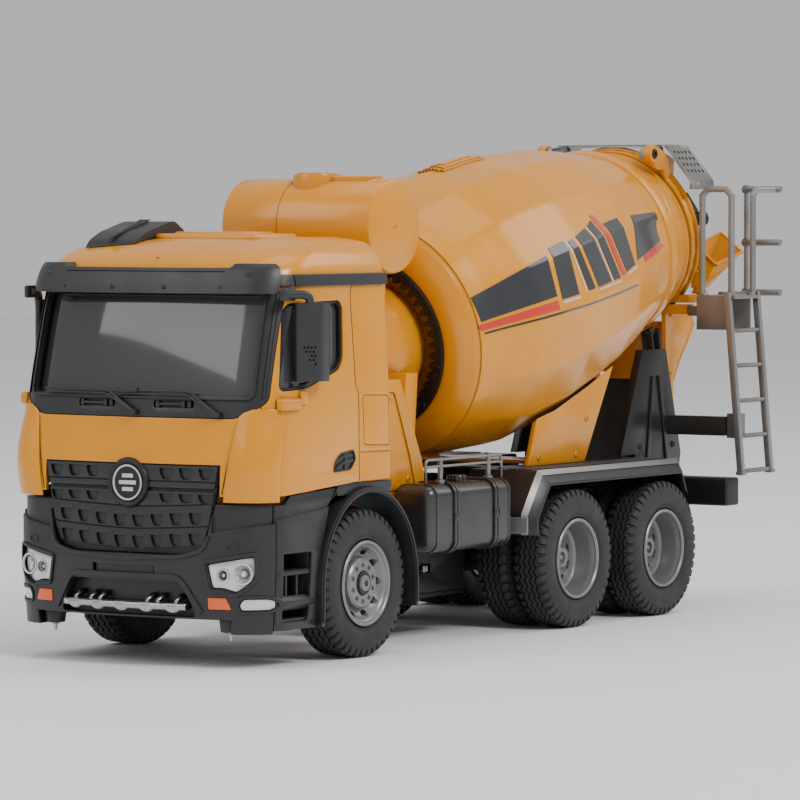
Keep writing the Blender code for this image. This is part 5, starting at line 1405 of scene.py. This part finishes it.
def drum_shape():
    """The drum's shell with its facets, front seam, track ring and mouth lip."""
    outer = rounded_outline_open(DRUM_OUTLINE, 3.5)
    fine = []
    for (s0, r0), (s1, r1) in zip(outer, outer[1:]):
        steps = max(1, int((s1 - s0) / 12))
        fine += [(s0 + (s1 - s0) * i / steps, r0 + (r1 - r0) * i / steps) for i in range(steps)]
    fine = [p for p in fine if not -12.9 < p[0] < -10.9]
    seam = [(-12.8, 69.45), (-12.5, 68.7), (-11.7, 68.8), (-11.4, 69.7)]
    fine = sorted(fine + seam)
    profile = [(-36.0, 0.0), (-36.0, 5.0), (-12.0, 5.0), (-12.0, 51.8), (-23.4, 51.8)] + fine
    profile += [(225.4, 59.0), (226.0, 59.9), (227.0, 60.0), (233.0, 60.0), (234.0, 59.4), (234.3, 57.6),
                (245.0, 55.1), (256.5, 52.5), (257.2, 53.4), (258.6, 53.2), (259.0, 52.0), (259.0, 48.2),
                (234.0, 54.0), (200.0, 63.2), (162.0, 71.6), (122.0, 76.4), (62.0, 79.8), (20.0, 73.4),
                (-9.0, 60.0), (-9.0, 0.0)]
    shell = turned(profile, 180, Matrix())
    for vertex in shell.data.vertices:
        x, y, s = (c / MM for c in vertex.co)
        radius = math.hypot(x, y)
        if -22.0 < s < 225.2 and radius > 68.0 - max(0.0, (s - 134.0) * 0.16):
            scale = drum_radius(s, math.atan2(-y, x)) / drum_radius(s, 0.0)
            vertex.co.x *= scale
            vertex.co.y *= scale
    return transform(shell, drum_matrix())


def drum_patch(corners, outer=0.28, inner=-0.6, mirror=False):
    """A thin patch on the drum between four (s, degrees) corners."""
    (sa, fa), (sb, fb), (sc, fc), (sd, fd) = corners
    columns = max(2, int(abs(sb - sa) / 5))
    rows = max(6, int(abs(fa - fd) / 0.5))
    bm = bmesh.new()
    layers = []
    for lift in (outer, inner):
        grid = []
        for i in range(columns + 1):
            u = i / columns
            line = []
            for j in range(rows + 1):
                v = j / rows
                s = (sa + (sb - sa) * u) * (1 - v) + (sd + (sc - sd) * u) * v
                f = (fa + (fb - fa) * u) * (1 - v) + (fd + (fc - fd) * u) * v
                angle = math.radians(180.0 - f if mirror else f)
                line.append(bm.verts.new(drum_point(s, angle, lift)))
            grid.append(line)
        layers.append(grid)
    top, low = layers
    for i in range(columns):
        for j in range(rows):
            bm.faces.new((top[i][j], top[i + 1][j], top[i + 1][j + 1], top[i][j + 1]))
            bm.faces.new((low[i][j], low[i][j + 1], low[i + 1][j + 1], low[i + 1][j]))
    for i in range(columns):
        bm.faces.new((top[i][0], low[i][0], low[i + 1][0], top[i + 1][0]))
        bm.faces.new((top[i][rows], top[i + 1][rows], low[i + 1][rows], low[i][rows]))
    for j in range(rows):
        bm.faces.new((top[0][j], top[0][j + 1], low[0][j + 1], low[0][j]))
        bm.faces.new((top[columns][j], low[columns][j], low[columns][j + 1], top[columns][j + 1]))
    bmesh.ops.recalc_face_normals(bm, faces=bm.faces)
    return from_bmesh(bm)


def both_flanks(patches):
    """The same patches on the drum's left and right."""
    return group(*[drum_patch(corners, mirror=flip) for corners in patches for flip in (False, True)])


def decal_shapes():
    """Plain stripes, blocks and slanted bars in the decals' places; they spell nothing."""
    dark = [[(-11.0, 20.5), (57.7, 24.0), (56.5, 7.1), (-9.0, 8.2)],
            [(-8.0, 2.9), (55.4, 0.6), (55.4, -0.2), (-8.0, 2.1)],
            [(55.4, 0.6), (160.0, -5.0), (160.0, -5.8), (55.4, -0.2)],
            [(64.0, 26.5), (82.0, 27.0), (80.0, 4.2), (61.0, 5.0)],
            [(86.0, 26.0), (92.0, 26.4), (99.0, 3.6), (91.0, 3.9)],
            [(96.0, 26.6), (112.0, 28.5), (121.0, 3.0), (103.5, 3.4)],
            [(116.0, 29.0), (124.0, 31.0), (134.0, 2.6), (125.0, 2.9)],
            [(135.5, 27.5), (156.0, 27.8), (158.0, 4.6), (144.0, 3.6)],
            [(175.8, 26.7), (217.0, 24.0), (216.4, 8.5), (163.0, 5.8)]]
    red = [[(-12.6, 6.8), (56.0, 5.4), (56.0, 1.8), (-10.0, 4.2)],
           [(126.0, 33.0), (131.0, 33.0), (142.0, 3.0), (137.0, 3.0)],
           [(174.8, 6.3), (215.3, 7.6), (215.3, 4.2), (174.8, 2.9)]]
    silver = [[(61.0, 4.2), (80.0, 3.4), (80.0, 2.4), (61.0, 3.2)],
              [(104.0, 2.6), (134.0, 1.6), (134.0, 0.8), (104.0, 1.8)],
              [(83.0, 26.6), (84.4, 26.6), (89.6, 4.0), (88.0, 4.0)],
              [(113.4, 28.6), (114.8, 28.8), (123.6, 3.0), (122.0, 3.0)],
              [(144.0, 2.8), (160.0, 3.8), (160.0, 2.8), (144.0, 1.8)]]
    return both_flanks(dark), both_flanks(red), both_flanks(silver)


def hatch_cover():
    """The hatch on the drum's top, with a stepped border and toothed ends."""
    parts = [drum_patch([(66, 98), (110, 98), (110, 85), (66, 85)], 0.9, -1.5),
             drum_patch([(69, 96.6), (107, 96.6), (107, 86.4), (69, 86.4)], 1.7, -1.5),
             drum_patch([(73, 94.8), (103, 94.8), (103, 88.2), (73, 88.2)], 2.3, -1.5)]
    for i in range(7):
        f = 86.6 + 1.6 * i
        for s in (63.6, 109.0):
            parts.append(drum_patch([(s, f + 0.9), (s + 3.4, f + 0.9), (s + 3.4, f), (s, f)], 1.3, -1.5))
    return group(*parts)


VANE_STEPS = 96
VANE_TURNS = 1.6


def drum_vane(phase):
    """One spiral mixing blade inside the shell, up to the mouth."""
    rings = []
    for i in range(VANE_STEPS + 1):
        s = 20.0 + 234.0 * i / VANE_STEPS
        turn = phase + 2 * math.pi * VANE_TURNS * i / VANE_STEPS
        wall = 47.5 if s > 250 else min(77.5, 52.0 + (250.0 - s) * 0.32) - max(0.0, (90.0 - s) * 0.10)
        wall = min(wall, drum_radius(max(-10.0, min(s, 225.0)), 0.17) - 3.4)
        ring = []
        for radius, shift in ((wall + 1.2, 0.0), (wall - 13.0, 2.0), (wall - 13.4, 3.2),
                              (wall + 1.2, 1.4)):
            ring.append((radius * math.cos(turn), -radius * math.sin(turn), s + shift))
        rings.append(ring)
    return transform(loft(rings), drum_matrix())


def bolt_ring(count, radius, s, direction, first=0.0):
    """Screws in a ring round the drum's axis, which face along it."""
    shapes = []
    for i in range(count):
        angle = 2 * math.pi * (i + first) / count
        place = drum_matrix() @ Matrix.Translation((radius * math.cos(angle), radius * math.sin(angle),
                                                    s))
        shapes.append(transform(screw((0, 0, 0), (0, 0, direction), 1.2, 0.7), place))
    return shapes


def roller_place(side):
    """A support roller's own axis, under the drum's track."""
    angle = math.radians(ROLLER_ANGLE)
    x, lift = side * ROLLER_LIFT * math.sin(angle), -ROLLER_LIFT * math.cos(angle)
    return drum_matrix() @ Matrix.Translation((x, -lift, ROLLER_S))


def roller_shape(side):
    """A support roller with a shallow groove round its middle."""
    profile = [(-2.6, 1.62), (2.6, 1.62), (2.6, 2.1), (2.3, 2.4), (0.8, 2.4), (0.5, 2.2), (-0.5, 2.2),
               (-0.8, 2.4), (-2.3, 2.4), (-2.6, 2.1)]
    return transform(turned(profile, 36, Matrix()), roller_place(side))


def build_drum():
    """Pieces of the drum and what turns it."""
    piece("drum_shell_faceted", drum_shape(), "yellow", "drum", "drum_shell", 40)
    dark, red, silver = decal_shapes()
    piece("decal_blocks", dark, "decal_dark", "drum", angle=40)
    piece("decal_stripes", red, "decal_red", "drum", angle=40)
    piece("decal_edges", silver, "decal_white", "drum", angle=40)
    piece("hatch_cover", hatch_cover(), "yellow", "drum", angle=30)
    piece("mixing_vanes", group(drum_vane(0.4), drum_vane(0.4 + math.pi)), "yellow", "drum", angle=50)
    refined("ring_gear", "black", 0.25, "drum", bolt_ring(12, 49.4, -25.4, -1, 0.5))
    refined("drum_pinion", "dark", 0.2, "pinion")
    ribs = [turned([(s, 10.8), (s, 11.5), (s + 0.7, 11.5), (s + 0.7, 10.8)], 40, drum_matrix())
            for s in (-71.0, -69.0, -67.0, -65.0)]
    shift = Matrix.Translation((-33.5, 0, 0))
    refined("drum_motor", "steel", 0.5, "truck", [transform(rib, shift) for rib in ribs])
    piece("roller_left_wheel", roller_shape(1), "black", "roller_left", "roller_left")
    piece("roller_right_wheel", roller_shape(-1), "black", "roller_right", "roller_right")


# ---------------------------------------------------------------- tanks, deck and chassis

DECK_Z = 92.0
DECK_PATH = [(-11.6, 56.0), (-11.6, 68.0), (5.7, DECK_Z), (165.0, DECK_Z), (180.0, 61.0)]


def offset_path(path, depth):
    """A side-view path moved inward by depth, with mitred corners."""
    moved = []
    for i, point in enumerate(path):
        before = Vector(point) - Vector(path[i - 1]) if i else None
        after = Vector(path[i + 1]) - Vector(point) if i < len(path) - 1 else None
        normals = [Vector((d.y, -d.x)).normalized() for d in (before, after) if d is not None]
        middle = sum(normals, Vector((0, 0))).normalized()
        moved.append(Vector(point) + middle * depth / middle.dot(normals[0]))
    return moved


def deck_sweep(section, path=DECK_PATH):
    """A section carried along the deck's side view."""
    moved = {depth: offset_path(path, depth) for _, depth in section}
    rings = [[(x, moved[depth][i].x, moved[depth][i].y) for x, depth in section]
             for i in range(len(path))]
    return loft(rings)


def deck_shape():
    """Both deck sides with ribbed top strips, an edge groove and screw heads."""
    section = [(34.0, 0.0), (79.2, 0.0), (85.9, 6.7), (86.0, 8.3), (84.3, 8.3), (84.3, 7.2), (78.8, 2.0),
               (34.0, 2.0)]
    side = deck_sweep(section)
    for y in REAR_AXLE_YS.values():
        cut(side, cylinder((-90, y, WHEEL_R), (90, y, WHEEL_R), WHEEL_R + 1.5, 72))
    cut(side, box((76.6, 77.3), (-20.0, 190.0), (DECK_Z - 0.5, DECK_Z + 2)))
    bevelled(side, 0.4, 2, 30)
    ribs = []
    for x in (57.0, 60.6, 64.2, 67.8, 71.4):
        ribs.append(box((x, x + 1.8), (10.0, 161.0), (DECK_Z - 0.4, DECK_Z + 0.6), 0.25, 1))
    for y in (16.0, 62.0, 108.0, 154.0):
        ribs.append(screw((48.0, y, DECK_Z), (0, 0, 1), 1.8, 0.8))
    group(side, *ribs)
    bars = [box((-36, 36), (y - 6, y + 6), (DECK_Z - 2.2, DECK_Z - 0.4), 0.3, 1) for y in (40.0, 120.0)]
    return group(sides(side), *bars)


def deck_edge():
    """The lighter strip along the deck's bevel and its flap strip at the front."""
    strip = deck_sweep([(79.0, -0.2), (81.9, 2.7), (81.5, 2.9), (79.0, 0.6)])
    move = transform(strip, Matrix.Translation((0.35, 0, 0.35)))
    flap = box((50.0, 84.0), (-12.5, -11.2), (57.0, 66.4), 0.3, 1)
    return sides(bevelled(group(move, flap), 0.12, 1))


def fuel_tank_shape():
    """Rounded tank with two double-beaded straps, end seams and a filler cap."""
    tank = box((52.0, 79.0), (-105.0, -18.0), (51.0, 89.0), 7.0, 8)
    for y in (-99.0, -24.0):
        shell = box((51.6, 79.4), (y - 0.9, y + 0.9), (50.6, 89.4), 0.4, 2)
        ring = keep(shell, box((51.5, 79.5), (-106.0, -17.0), (50.5, 89.5), 7.4, 8))
        group(tank, bevelled(ring, 0.25, 2))
    for y in (-80.0, -38.0):
        for shift in (-1.55, 1.55):
            band = box((51.2, 80.2), (y + shift - 1.0, y + shift + 1.0), (50.0, 90.2), 0.3, 1)
            band = keep(band, box((51.2, 80.2), (-106.0, -17.0), (50.0, 90.2), 7.8, 8))
            group(tank, bevelled(band, 0.5, 3))
        web = keep(box((51.6, 79.7), (y - 1.2, y + 1.2), (50.5, 89.7)),
                   box((51.4, 79.8), (-106, -17), (50.4, 89.8), 7.4, 8))
        buckle = box((78.6, 80.2), (y - 2.6, y + 2.6), (68.0, 73.0), 0.4, 2)
        group(tank, web, buckle)
    cap = cylinder((66.0, -59.0, 88.6), (66.0, -59.0, 92.4), 6.2, 40, 5.8, 0.5)
    centre = Matrix.Translation((66, -59, 90.6))
    notches = [transform(box((5.4, 8.0), (-0.45, 0.45), (-1, 3)),
                         centre @ Matrix.Rotation(2 * math.pi * i / 16, 4, "Z"))
               for i in range(16)]
    cut(cap, *notches)
    return group(tank, cap)


def hose_rails():
    """Two thin rails and their posts above the tank."""
    shapes = []
    for z in (98.6, 102.4):
        shapes.append(tube([(71.0, -99.0, 89.4), (71.0, -99.0, z), (71.0, -20.0, z), (71.0, -20.0, 89.4)],
                           0.85, 14, 3.0))
    for y in (-84.0, -34.0):
        shapes.append(cylinder((71.0, y, 88.6), (71.0, y, 103.6), 1.5, 20, round_edge=0.4))
        shapes.append(cylinder((71.0, y, 88.6), (71.0, y, 91.2), 2.6, 24, round_edge=0.4))
    return group(*shapes)


def tool_box_shape():
    """Locker with a framed door, two latches and two hinges."""
    locker = box((-79.0, -52.0), (-105.0, -18.0), (51.0, 86.0), 2.4, 4)
    door = box((-79.9, -78.4), (-101.0, -22.0), (54.5, 82.5), 0.5, 3)
    cut(door, box((-81.0, -79.5), (-96.0, -27.0), (58.5, 78.5), 0.3, 2))
    parts = [bevelled(door, 0.2, 1)]
    for y in (-84.0, -39.0):
        parts.append(box((-80.6, -79.0), (y - 3.2, y + 3.2), (79.0, 83.6), 0.5, 3))
        parts.append(cylinder((-80.2, y - 4.0, 54.8), (-80.2, y + 4.0, 54.8), 0.9, 20, round_edge=0.2))
    return group(locker, *parts)


WATER_TANK_Y, WATER_TANK_Z = -98.0, 232.5


def water_tank_shape():
    """Cross-wise tank with flat ends, and a low round filler with a flat deck beside it."""
    profile = [(-50.0, 0.0), (-50.0, 24.9), (-49.5, 25.9), (-48.4, 26.5), (48.4, 26.5), (49.5, 25.9),
               (50.0, 24.9), (50.0, 0.0)]
    tank = turned(profile, 96, along_x((0, WATER_TANK_Y, WATER_TANK_Z)))
    groove = turned([(-0.35, 26.2), (-0.35, 28.0), (0.35, 28.0), (0.35, 26.2)], 96,
                    along_x((-12.0, WATER_TANK_Y, WATER_TANK_Z)))
    cut(tank, groove)
    neck = cylinder((0, -101.0, 246.0), (0, -101.0, 261.6), 13.8, 72, round_edge=0.7)
    lid = cylinder((0, -101.0, 261.0), (0, -101.0, 262.4), 11.6, 72, round_edge=0.5)
    shelf = box((6.0, 37.0), (-106.0, -90.0), (255.0, 260.6), 0.6, 3)
    bolts = [screw((x * 50.0, WATER_TANK_Y, WATER_TANK_Z), (x, 0, 0), 1.6, 0.6) for x in (-1, 1)]
    return group(tank, neck, lid, shelf, *bolts)


def rail_rivets():
    """Rivets along the outside of both chassis rails."""
    heads = []
    for side in (-1, 1):
        places = [(side * 32.0, y, 69.0) for y in (-250, -222, -150, -124, -10, 20, 66, 90, 116, 170,
                                                   196)]
        heads += screws(places, (side, 0, 0), 1.9, 0.9)
    return heads


def build_chassis():
    """Pieces of the chassis, deck, tanks and axles."""
    refined("chassis_frame", "black", 0.4, "truck", rail_rivets())
    leaves = []
    for side in (-1, 1):
        lo, hi = sorted((side * 25.0, side * 31.0))
        for shift in (-8.5, 8.5):
            y = FRONT_AXLE_Y + shift
            leaves.append(box((lo - 0.4, hi + 0.4), (y - 1.2, y + 1.2), (43.4, 50.6), 0.4, 2))
    refined("front_axle_beam", "black", 0.5, "truck", leaves)
    covers = [cylinder((0, y, 50.4), (0, y, 52.6), 11.0, 40, 10.2, 0.5) for y in REAR_AXLE_YS.values()]
    covers += [screw((x, y, 50.8), (0, 0, 1), 1.5, 0.8) for y in (70.0, 90.0, 110.0) for x in (-11, 11)]
    refined("bogie_housing", "black", 0.6, "truck", covers)
    lugs = [screw((x, y, 59.2), (0, 0, 1), 1.3, 0.7) for x in (-9, 9) for y in (-154, -130)]
    refined("steering_servo", "black", 0.5, "truck", lugs)
    slots = [box((x - 0.8, x + 0.8), (-99, -97.4), (30.0, 44.0)) for x in range(-32, 33, 8)]
    refined("battery_box", "black", 0.5, "truck", cutters=slots)
    feet = [screw((x, y, 22.2), (0, 0, -1), 2.0, 0.8) for x in (-37, 37) for y in (-93, -19)]
    groove = frame_plate(rounded_outline([(-36, -88), (36, -88), (36, -24), (-36, -24)], 4.0),
                         (21.0, 22.5), "z", 0.8)
    refined("battery_door", "black", 0.4, "truck", feet, [groove])
    caps = [cylinder((side * 29.8, y, 35.6), (side * 30.9, y, 35.6), 4.2, 32, round_edge=0.3)
            for side in (-1, 1) for y in (-76.0, -56.0, -36.0)]
    refined("battery_pack", "wrap", 0.5, "truck", caps)
    ridges = [box((44.0, 44.5), (y - 0.3, y + 0.3), (36.9, 40.1), 0.1, 1) for y in (-58.7, -57.5, -56.3)]
    refined("power_switch", "steel", 0.2, "switch", ridges)
    for name in ("left", "right"):
        refined(f"knuckle_{name}", "black", 0.3, f"knuckle_{name}")
    refined("tie_rod", "steel", 0.25, "tie_rod")
    for place, y in REAR_AXLE_YS.items():
        collars = [cylinder((side * 71.2, y, WHEEL_R), (side * 72.2, y, WHEEL_R), 1.4, 6)
                   for side in (-1, 1)]
        refined(f"{place}_axle", "steel", 0.25, f"{place}_wheels", collars)
    piece("rear_deck_shape", deck_shape(), "deck", "truck", "rear_deck", 32)
    piece("rear_deck_edge", deck_edge(), "silver", "truck", angle=32)
    piece("fuel_tank_body", fuel_tank_shape(), "gunmetal", "truck", "fuel_tank", 36)
    piece("hose_rails", hose_rails(), "silver", "truck")
    piece("tool_box_body", tool_box_shape(), "dark", "truck", "tool_box", 34)
    piece("water_tank_body", water_tank_shape(), "yellow", "truck", "water_tank", 34)
    bolts = [screw((x, 231.5, 69.5), (0, 1, 0), 2.0, 0.9) for x in (-76, -28, 28, 76)]
    marks = [box((lo, lo + 9), (231.2, 232.1), (66.5, 72.5), 0.4, 2) for lo in (-66, 57)]
    refined("underrun_bar", "black", 0.7, "truck", bolts + marks, segments=3)


# ---------------------------------------------------------------- pedestals, hopper and ladder

def brace_details():
    """Screws and raised borders on both sides of the drum brace."""
    shapes = []
    for side in (-1, 1):
        x = side * 53.0
        places = [(x, y, z) for y, z in ((50.0, 97.0), (92.0, 97.0), (104.0, 118.0))]
        shapes += screws(places, (side, 0, 0), 1.9, 0.9)
        lo, hi = sorted((x, x + side * 0.8))
        outline = rounded_outline([(48.0, 102.0), (94.0, 102.0), (104.0, 124.0), (64.0, 124.0)], 2.0)
        shapes.append(bevelled(frame_plate(outline, (lo - 0.4, hi), "x", 1.4), 0.25, 2))
    return shapes


def pedestal_details():
    """Ribs and screws on both sides of the rear pedestal."""
    shapes = []
    for side in (-1, 1):
        x = side * 39.5
        lo, hi = sorted((x - side * 0.4, x + side * 1.1))
        for outline in ([(196.0, 84.0), (199.5, 84.0), (207.0, 140.0), (203.5, 140.0)],
                        [(221.0, 84.0), (224.5, 84.0), (213.5, 140.0), (210.5, 140.0)]):
            shapes.append(bevelled(plate(outline, (lo, hi), "x"), 0.4, 2))
        places = [(x, y, z) for y, z in ((190.0, 97.0), (230.0, 97.0), (190.0, 84.0), (228.0, 84.0))]
        shapes += screws(places, (side, 0, 0), 2.0, 0.9)
    shapes.append(screw((60.0, 231.5, 109.2), (0, 1, 0), 2.0, 0.9))
    return shapes


def front_pedestal_details():
    """Raised borders, screws and saddle strips on the front pedestal."""
    shapes = []
    for side in (-1, 1):
        x = side * 49.5
        lo, hi = sorted((x - side * 0.4, x + side * 0.8))
        outline = rounded_outline([(-129.0, 86.0), (-76.0, 86.0), (-82.0, 104.0), (-98.0, 141.0),
                                   (-129.0, 141.0)], 3.0)
        shapes.append(bevelled(frame_plate(outline, (lo, hi), "x", 1.6), 0.3, 2))
        low = [(x, y, z) for y, z in ((-124.0, 91.0), (-84.0, 91.0), (-124.0, 136.0), (-104.0, 136.0))]
        high = [(side * 47.5, -108.0, z) for z in (150.0, 176.0, 202.0)]
        shapes += screws(low, (side, 0, 0), 1.9, 0.9) + screws(high, (side, 0, 0), 1.7, 0.8)
        lo, hi = sorted((side * 41.6, side * 47.9))
        shapes.append(box((lo, hi), (-112.4, -103.6), (205.0, 209.0), 0.5, 2))
    return shapes


def ladder_shape():
    """Grip rings on the rungs and two feet for the ladder."""
    grips = []
    for i in range(5):
        z = 82.0 + i * 21.4
        x = 90.0 - 10.0 * (z - 80.5) / 110.5
        for k in range(10):
            y = 229.2 + 3.3 * k
            grips.append(cylinder((x, y, z), (x, y + 1.2, z), 1.45, 16, round_edge=0.2))
    for y in (226.0, 262.0):
        grips.append(box((87.2, 92.6), (y - 2.4, y + 2.4), (79.6, 82.0), 0.6, 3))
    return grips


def platform_details():
    """Tread bars, collars and rail bosses on the platform."""
    shapes = []
    for i in range(9):
        y = 231.0 + 3.2 * i
        shapes.append(box((60.6, 76.4), (y, y + 1.4), (186.6, 187.7), 0.25, 1))
    for x, y in ((60.6, 231.4), (79.4, 231.4), (79.4, 256.6)):
        shapes.append(cylinder((x, y, 187.0), (x, y, 190.4), 2.9, 28, 2.5, 0.5))
    for z in (190.0, 221.0, 254.0):
        shapes.append(cylinder((59.6, 284.4, z), (59.6, 287.6, z), 2.9, 28, round_edge=0.4))
    return shapes


def hood_cutters():
    """Perforations through both sloping sides of the hood."""
    holes = []
    slope = Vector((18.5, 0, -21.9)).normalized()
    out = Vector((21.9, 0, 18.5)).normalized()
    for side in (-1, 1):
        for i in range(5):
            for j in range(4):
                point = Vector((38.5, 226.5 + 4.4 * i, 281.4)) + slope * (6.0 + 5.0 * j)
                start, end = point - out * 6, point + out * 6
                holes.append(cylinder((side * start.x, start.y, start.z), (side * end.x, end.y, end.z),
                                      1.25, 16))
    return holes


LUG_Y, LUG_Z = 205.0, 275.5     # the hood's pivot


def hopper_details():
    """A rolled lip, flange bolts round the ring and rims on the hood lugs."""
    shapes = [turned([(268.2, 53.0), (269.4, 53.4), (269.8, 54.4), (269.0, 55.0), (267.6, 54.6),
                      (267.2, 53.4)], 96, drum_matrix())]
    shapes += bolt_ring(16, 51.5, 269.0, 1)
    for side in (-1, 1):
        shapes.append(turned([(side * 39.6, 3.0), (side * 40.6, 3.2), (side * 40.6, 5.2),
                              (side * 39.6, 5.6)], 40, along_x((0, LUG_Y, LUG_Z))))
        legs = [(side * 28.0, 246.0, z) for z in (100.0, 140.0, 176.0)]
        shapes += screws(legs, (side, 0, 0), 1.5, 0.8)
    return shapes


def lug_screws():
    """A hexagon socket screw in each of the hood's lugs."""
    heads = []
    for side in (-1, 1):
        head = cylinder((side * 39.4, LUG_Y, LUG_Z), (side * 41.4, LUG_Y, LUG_Z), 3.0, 6)
        cut(head, cylinder((side * 40.2, LUG_Y, LUG_Z), (side * 44.0, LUG_Y, LUG_Z), 1.4, 6))
        heads.append(bevelled(head, 0.3, 2))
    return group(*heads)


def trough_details():
    """Rolled rims and screws on both sides of the trough."""
    cheek = [(281.0, 178.0), (287.0, 170.0), (277.0, 157.0), (268.0, 147.0), (260.0, 133.0),
             (261.0, 115.5)]
    shapes = []
    for side in (-1, 1):
        shapes.append(tube([(side * 21.0, y - 0.3, z - 0.3) for y, z in cheek], 1.25, 14, 2.0))
        places = [(side * 22.0, y, z) for y, z in ((257.0, 168.0), (257.0, 150.0), (256.5, 126.0))]
        shapes += screws(places, (side, 0, 0), 1.4, 0.8)
    return shapes


def chute_details():
    """A rolled rim, a screw and a pivot collar for the side chute."""
    rim = [(39.5, 259.0, 219.0), (54.0, 257.0, 207.5), (62.0, 276.0, 215.0), (45.0, 279.5, 227.0)]
    lip = [tube([rim[i], rim[(i + 1) % 4]], 1.1, 14) for i in range(4)]
    lip += [screw((42.0, 253.8, 203.0), (0, -1, 0), 1.5, 0.8)]
    collar = cylinder((42.0, 258.0, 189.5), (42.0, 258.0, 191.5), 4.8, 36, round_edge=0.4)
    return lip + [collar]


def build_rear():
    """Pieces of the pedestals, ladder, hopper, chute and work lamp."""
    refined("drum_brace", "yellow", 0.4, "truck", brace_details())
    refined("rear_pedestal", "deck", 0.4, "truck", pedestal_details())
    refined("front_pedestal", "yellow", 0.4, "truck", front_pedestal_details())
    refined("ladder", "silver", 0.4, "truck", ladder_shape())
    refined("platform", "silver", 0.4, "truck", platform_details())
    refined("hopper_frame", "yellow", 0.35, "truck", hopper_details())
    piece("lug_screws", lug_screws(), "black", "truck")
    refined("hopper_hood", "silver", 0.4, "hood", cutters=hood_cutters())
    refined("discharge_trough", "yellow", 0.3, "truck", trough_details())
    refined("chute", "yellow", 0.3, "chute", chute_details())
    fins = [turned([(s, 3.9), (s, 4.7), (s + 0.5, 4.7), (s + 0.5, 3.9)], 36, lamp_matrix())
            for s in (2.0, 3.4, 4.8)]
    refined("work_lamp", "black", 0.4, "truck", fins)
    lens = turned([(10.2, 0.0), (11.9, 0.0), (11.8, 1.6), (11.5, 2.8), (11.0, 3.6), (10.2, 3.7)], 40,
                  lamp_matrix())
    piece("work_lamp_lens", lens, "clear", "truck")


def lamp_matrix():
    """The work lamp's own axis, from its back to its lens."""
    return Matrix.Translation((42.0, 246.0, 236.0)) @ turn_to((5.0, 10.0, 0.0))


# ---------------------------------------------------------------- studio

WORLD_STRENGTH = 0.58
CAMERA_LENS = 214.2
CAMERA_EYE = (1.5069, -2.3135, 0.2440)
CAMERA_AIM = (0.0032, -0.0215, 0.1320)
LIGHTS = (                      # name, place in metres, size in metres, power in watts
    ("key", (2.1, -0.7, 2.0), 0.8, 40.0),
    ("fill", (-1.08, -1.87, 1.6), 1.5, 16.0),
    ("back", (1.4, 1.9, 1.7), 1.4, 16.0),
    ("top", (0.0, 0.2, 2.6), 1.8, 14.0),
)


def studio():
    """Pale floor, soft lights and the camera."""
    floor = bmesh.new()
    bmesh.ops.create_grid(floor, x_segments=1, y_segments=1, size=6000.0)
    floor = from_bmesh(floor)
    floor.name = "studio_floor"
    floor.location.z = -0.0003
    g = Graph("floor_look")
    g.set("Base Color", (0.93, 0.93, 0.93, 1.0))
    g.set("Roughness", 0.65)
    floor.data.materials.append(g.material)
    world = bpy.data.worlds.new("studio_world")
    world.use_nodes = True
    world.node_tree.nodes["Background"].inputs["Color"].default_value = (1.0, 1.0, 1.0, 1.0)
    world.node_tree.nodes["Background"].inputs["Strength"].default_value = WORLD_STRENGTH
    bpy.context.scene.world = world
    for name, place, size, power in LIGHTS:
        light = bpy.data.lights.new(name, "AREA")
        light.size = size
        light.energy = power
        lamp = bpy.data.objects.new(name, light)
        lamp.location = place
        lamp.rotation_euler = (Vector((0, 0, 0.13)) - Vector(place)).to_track_quat("-Z", "Y").to_euler()
        bpy.context.scene.collection.objects.link(lamp)
    camera = bpy.data.cameras.new("camera")
    camera.lens = CAMERA_LENS
    camera.sensor_width = 36.0
    camera.clip_end = 50.0
    eye = bpy.data.objects.new("camera", camera)
    eye.location = CAMERA_EYE
    eye.rotation_euler = (Vector(CAMERA_AIM) - eye.location).to_track_quat("-Z", "Y").to_euler()
    bpy.context.scene.collection.objects.link(eye)
    bpy.context.scene.camera = eye


build_wheels()
build_cab()
build_front()
build_drum()
build_chassis()
build_rear()
studio()
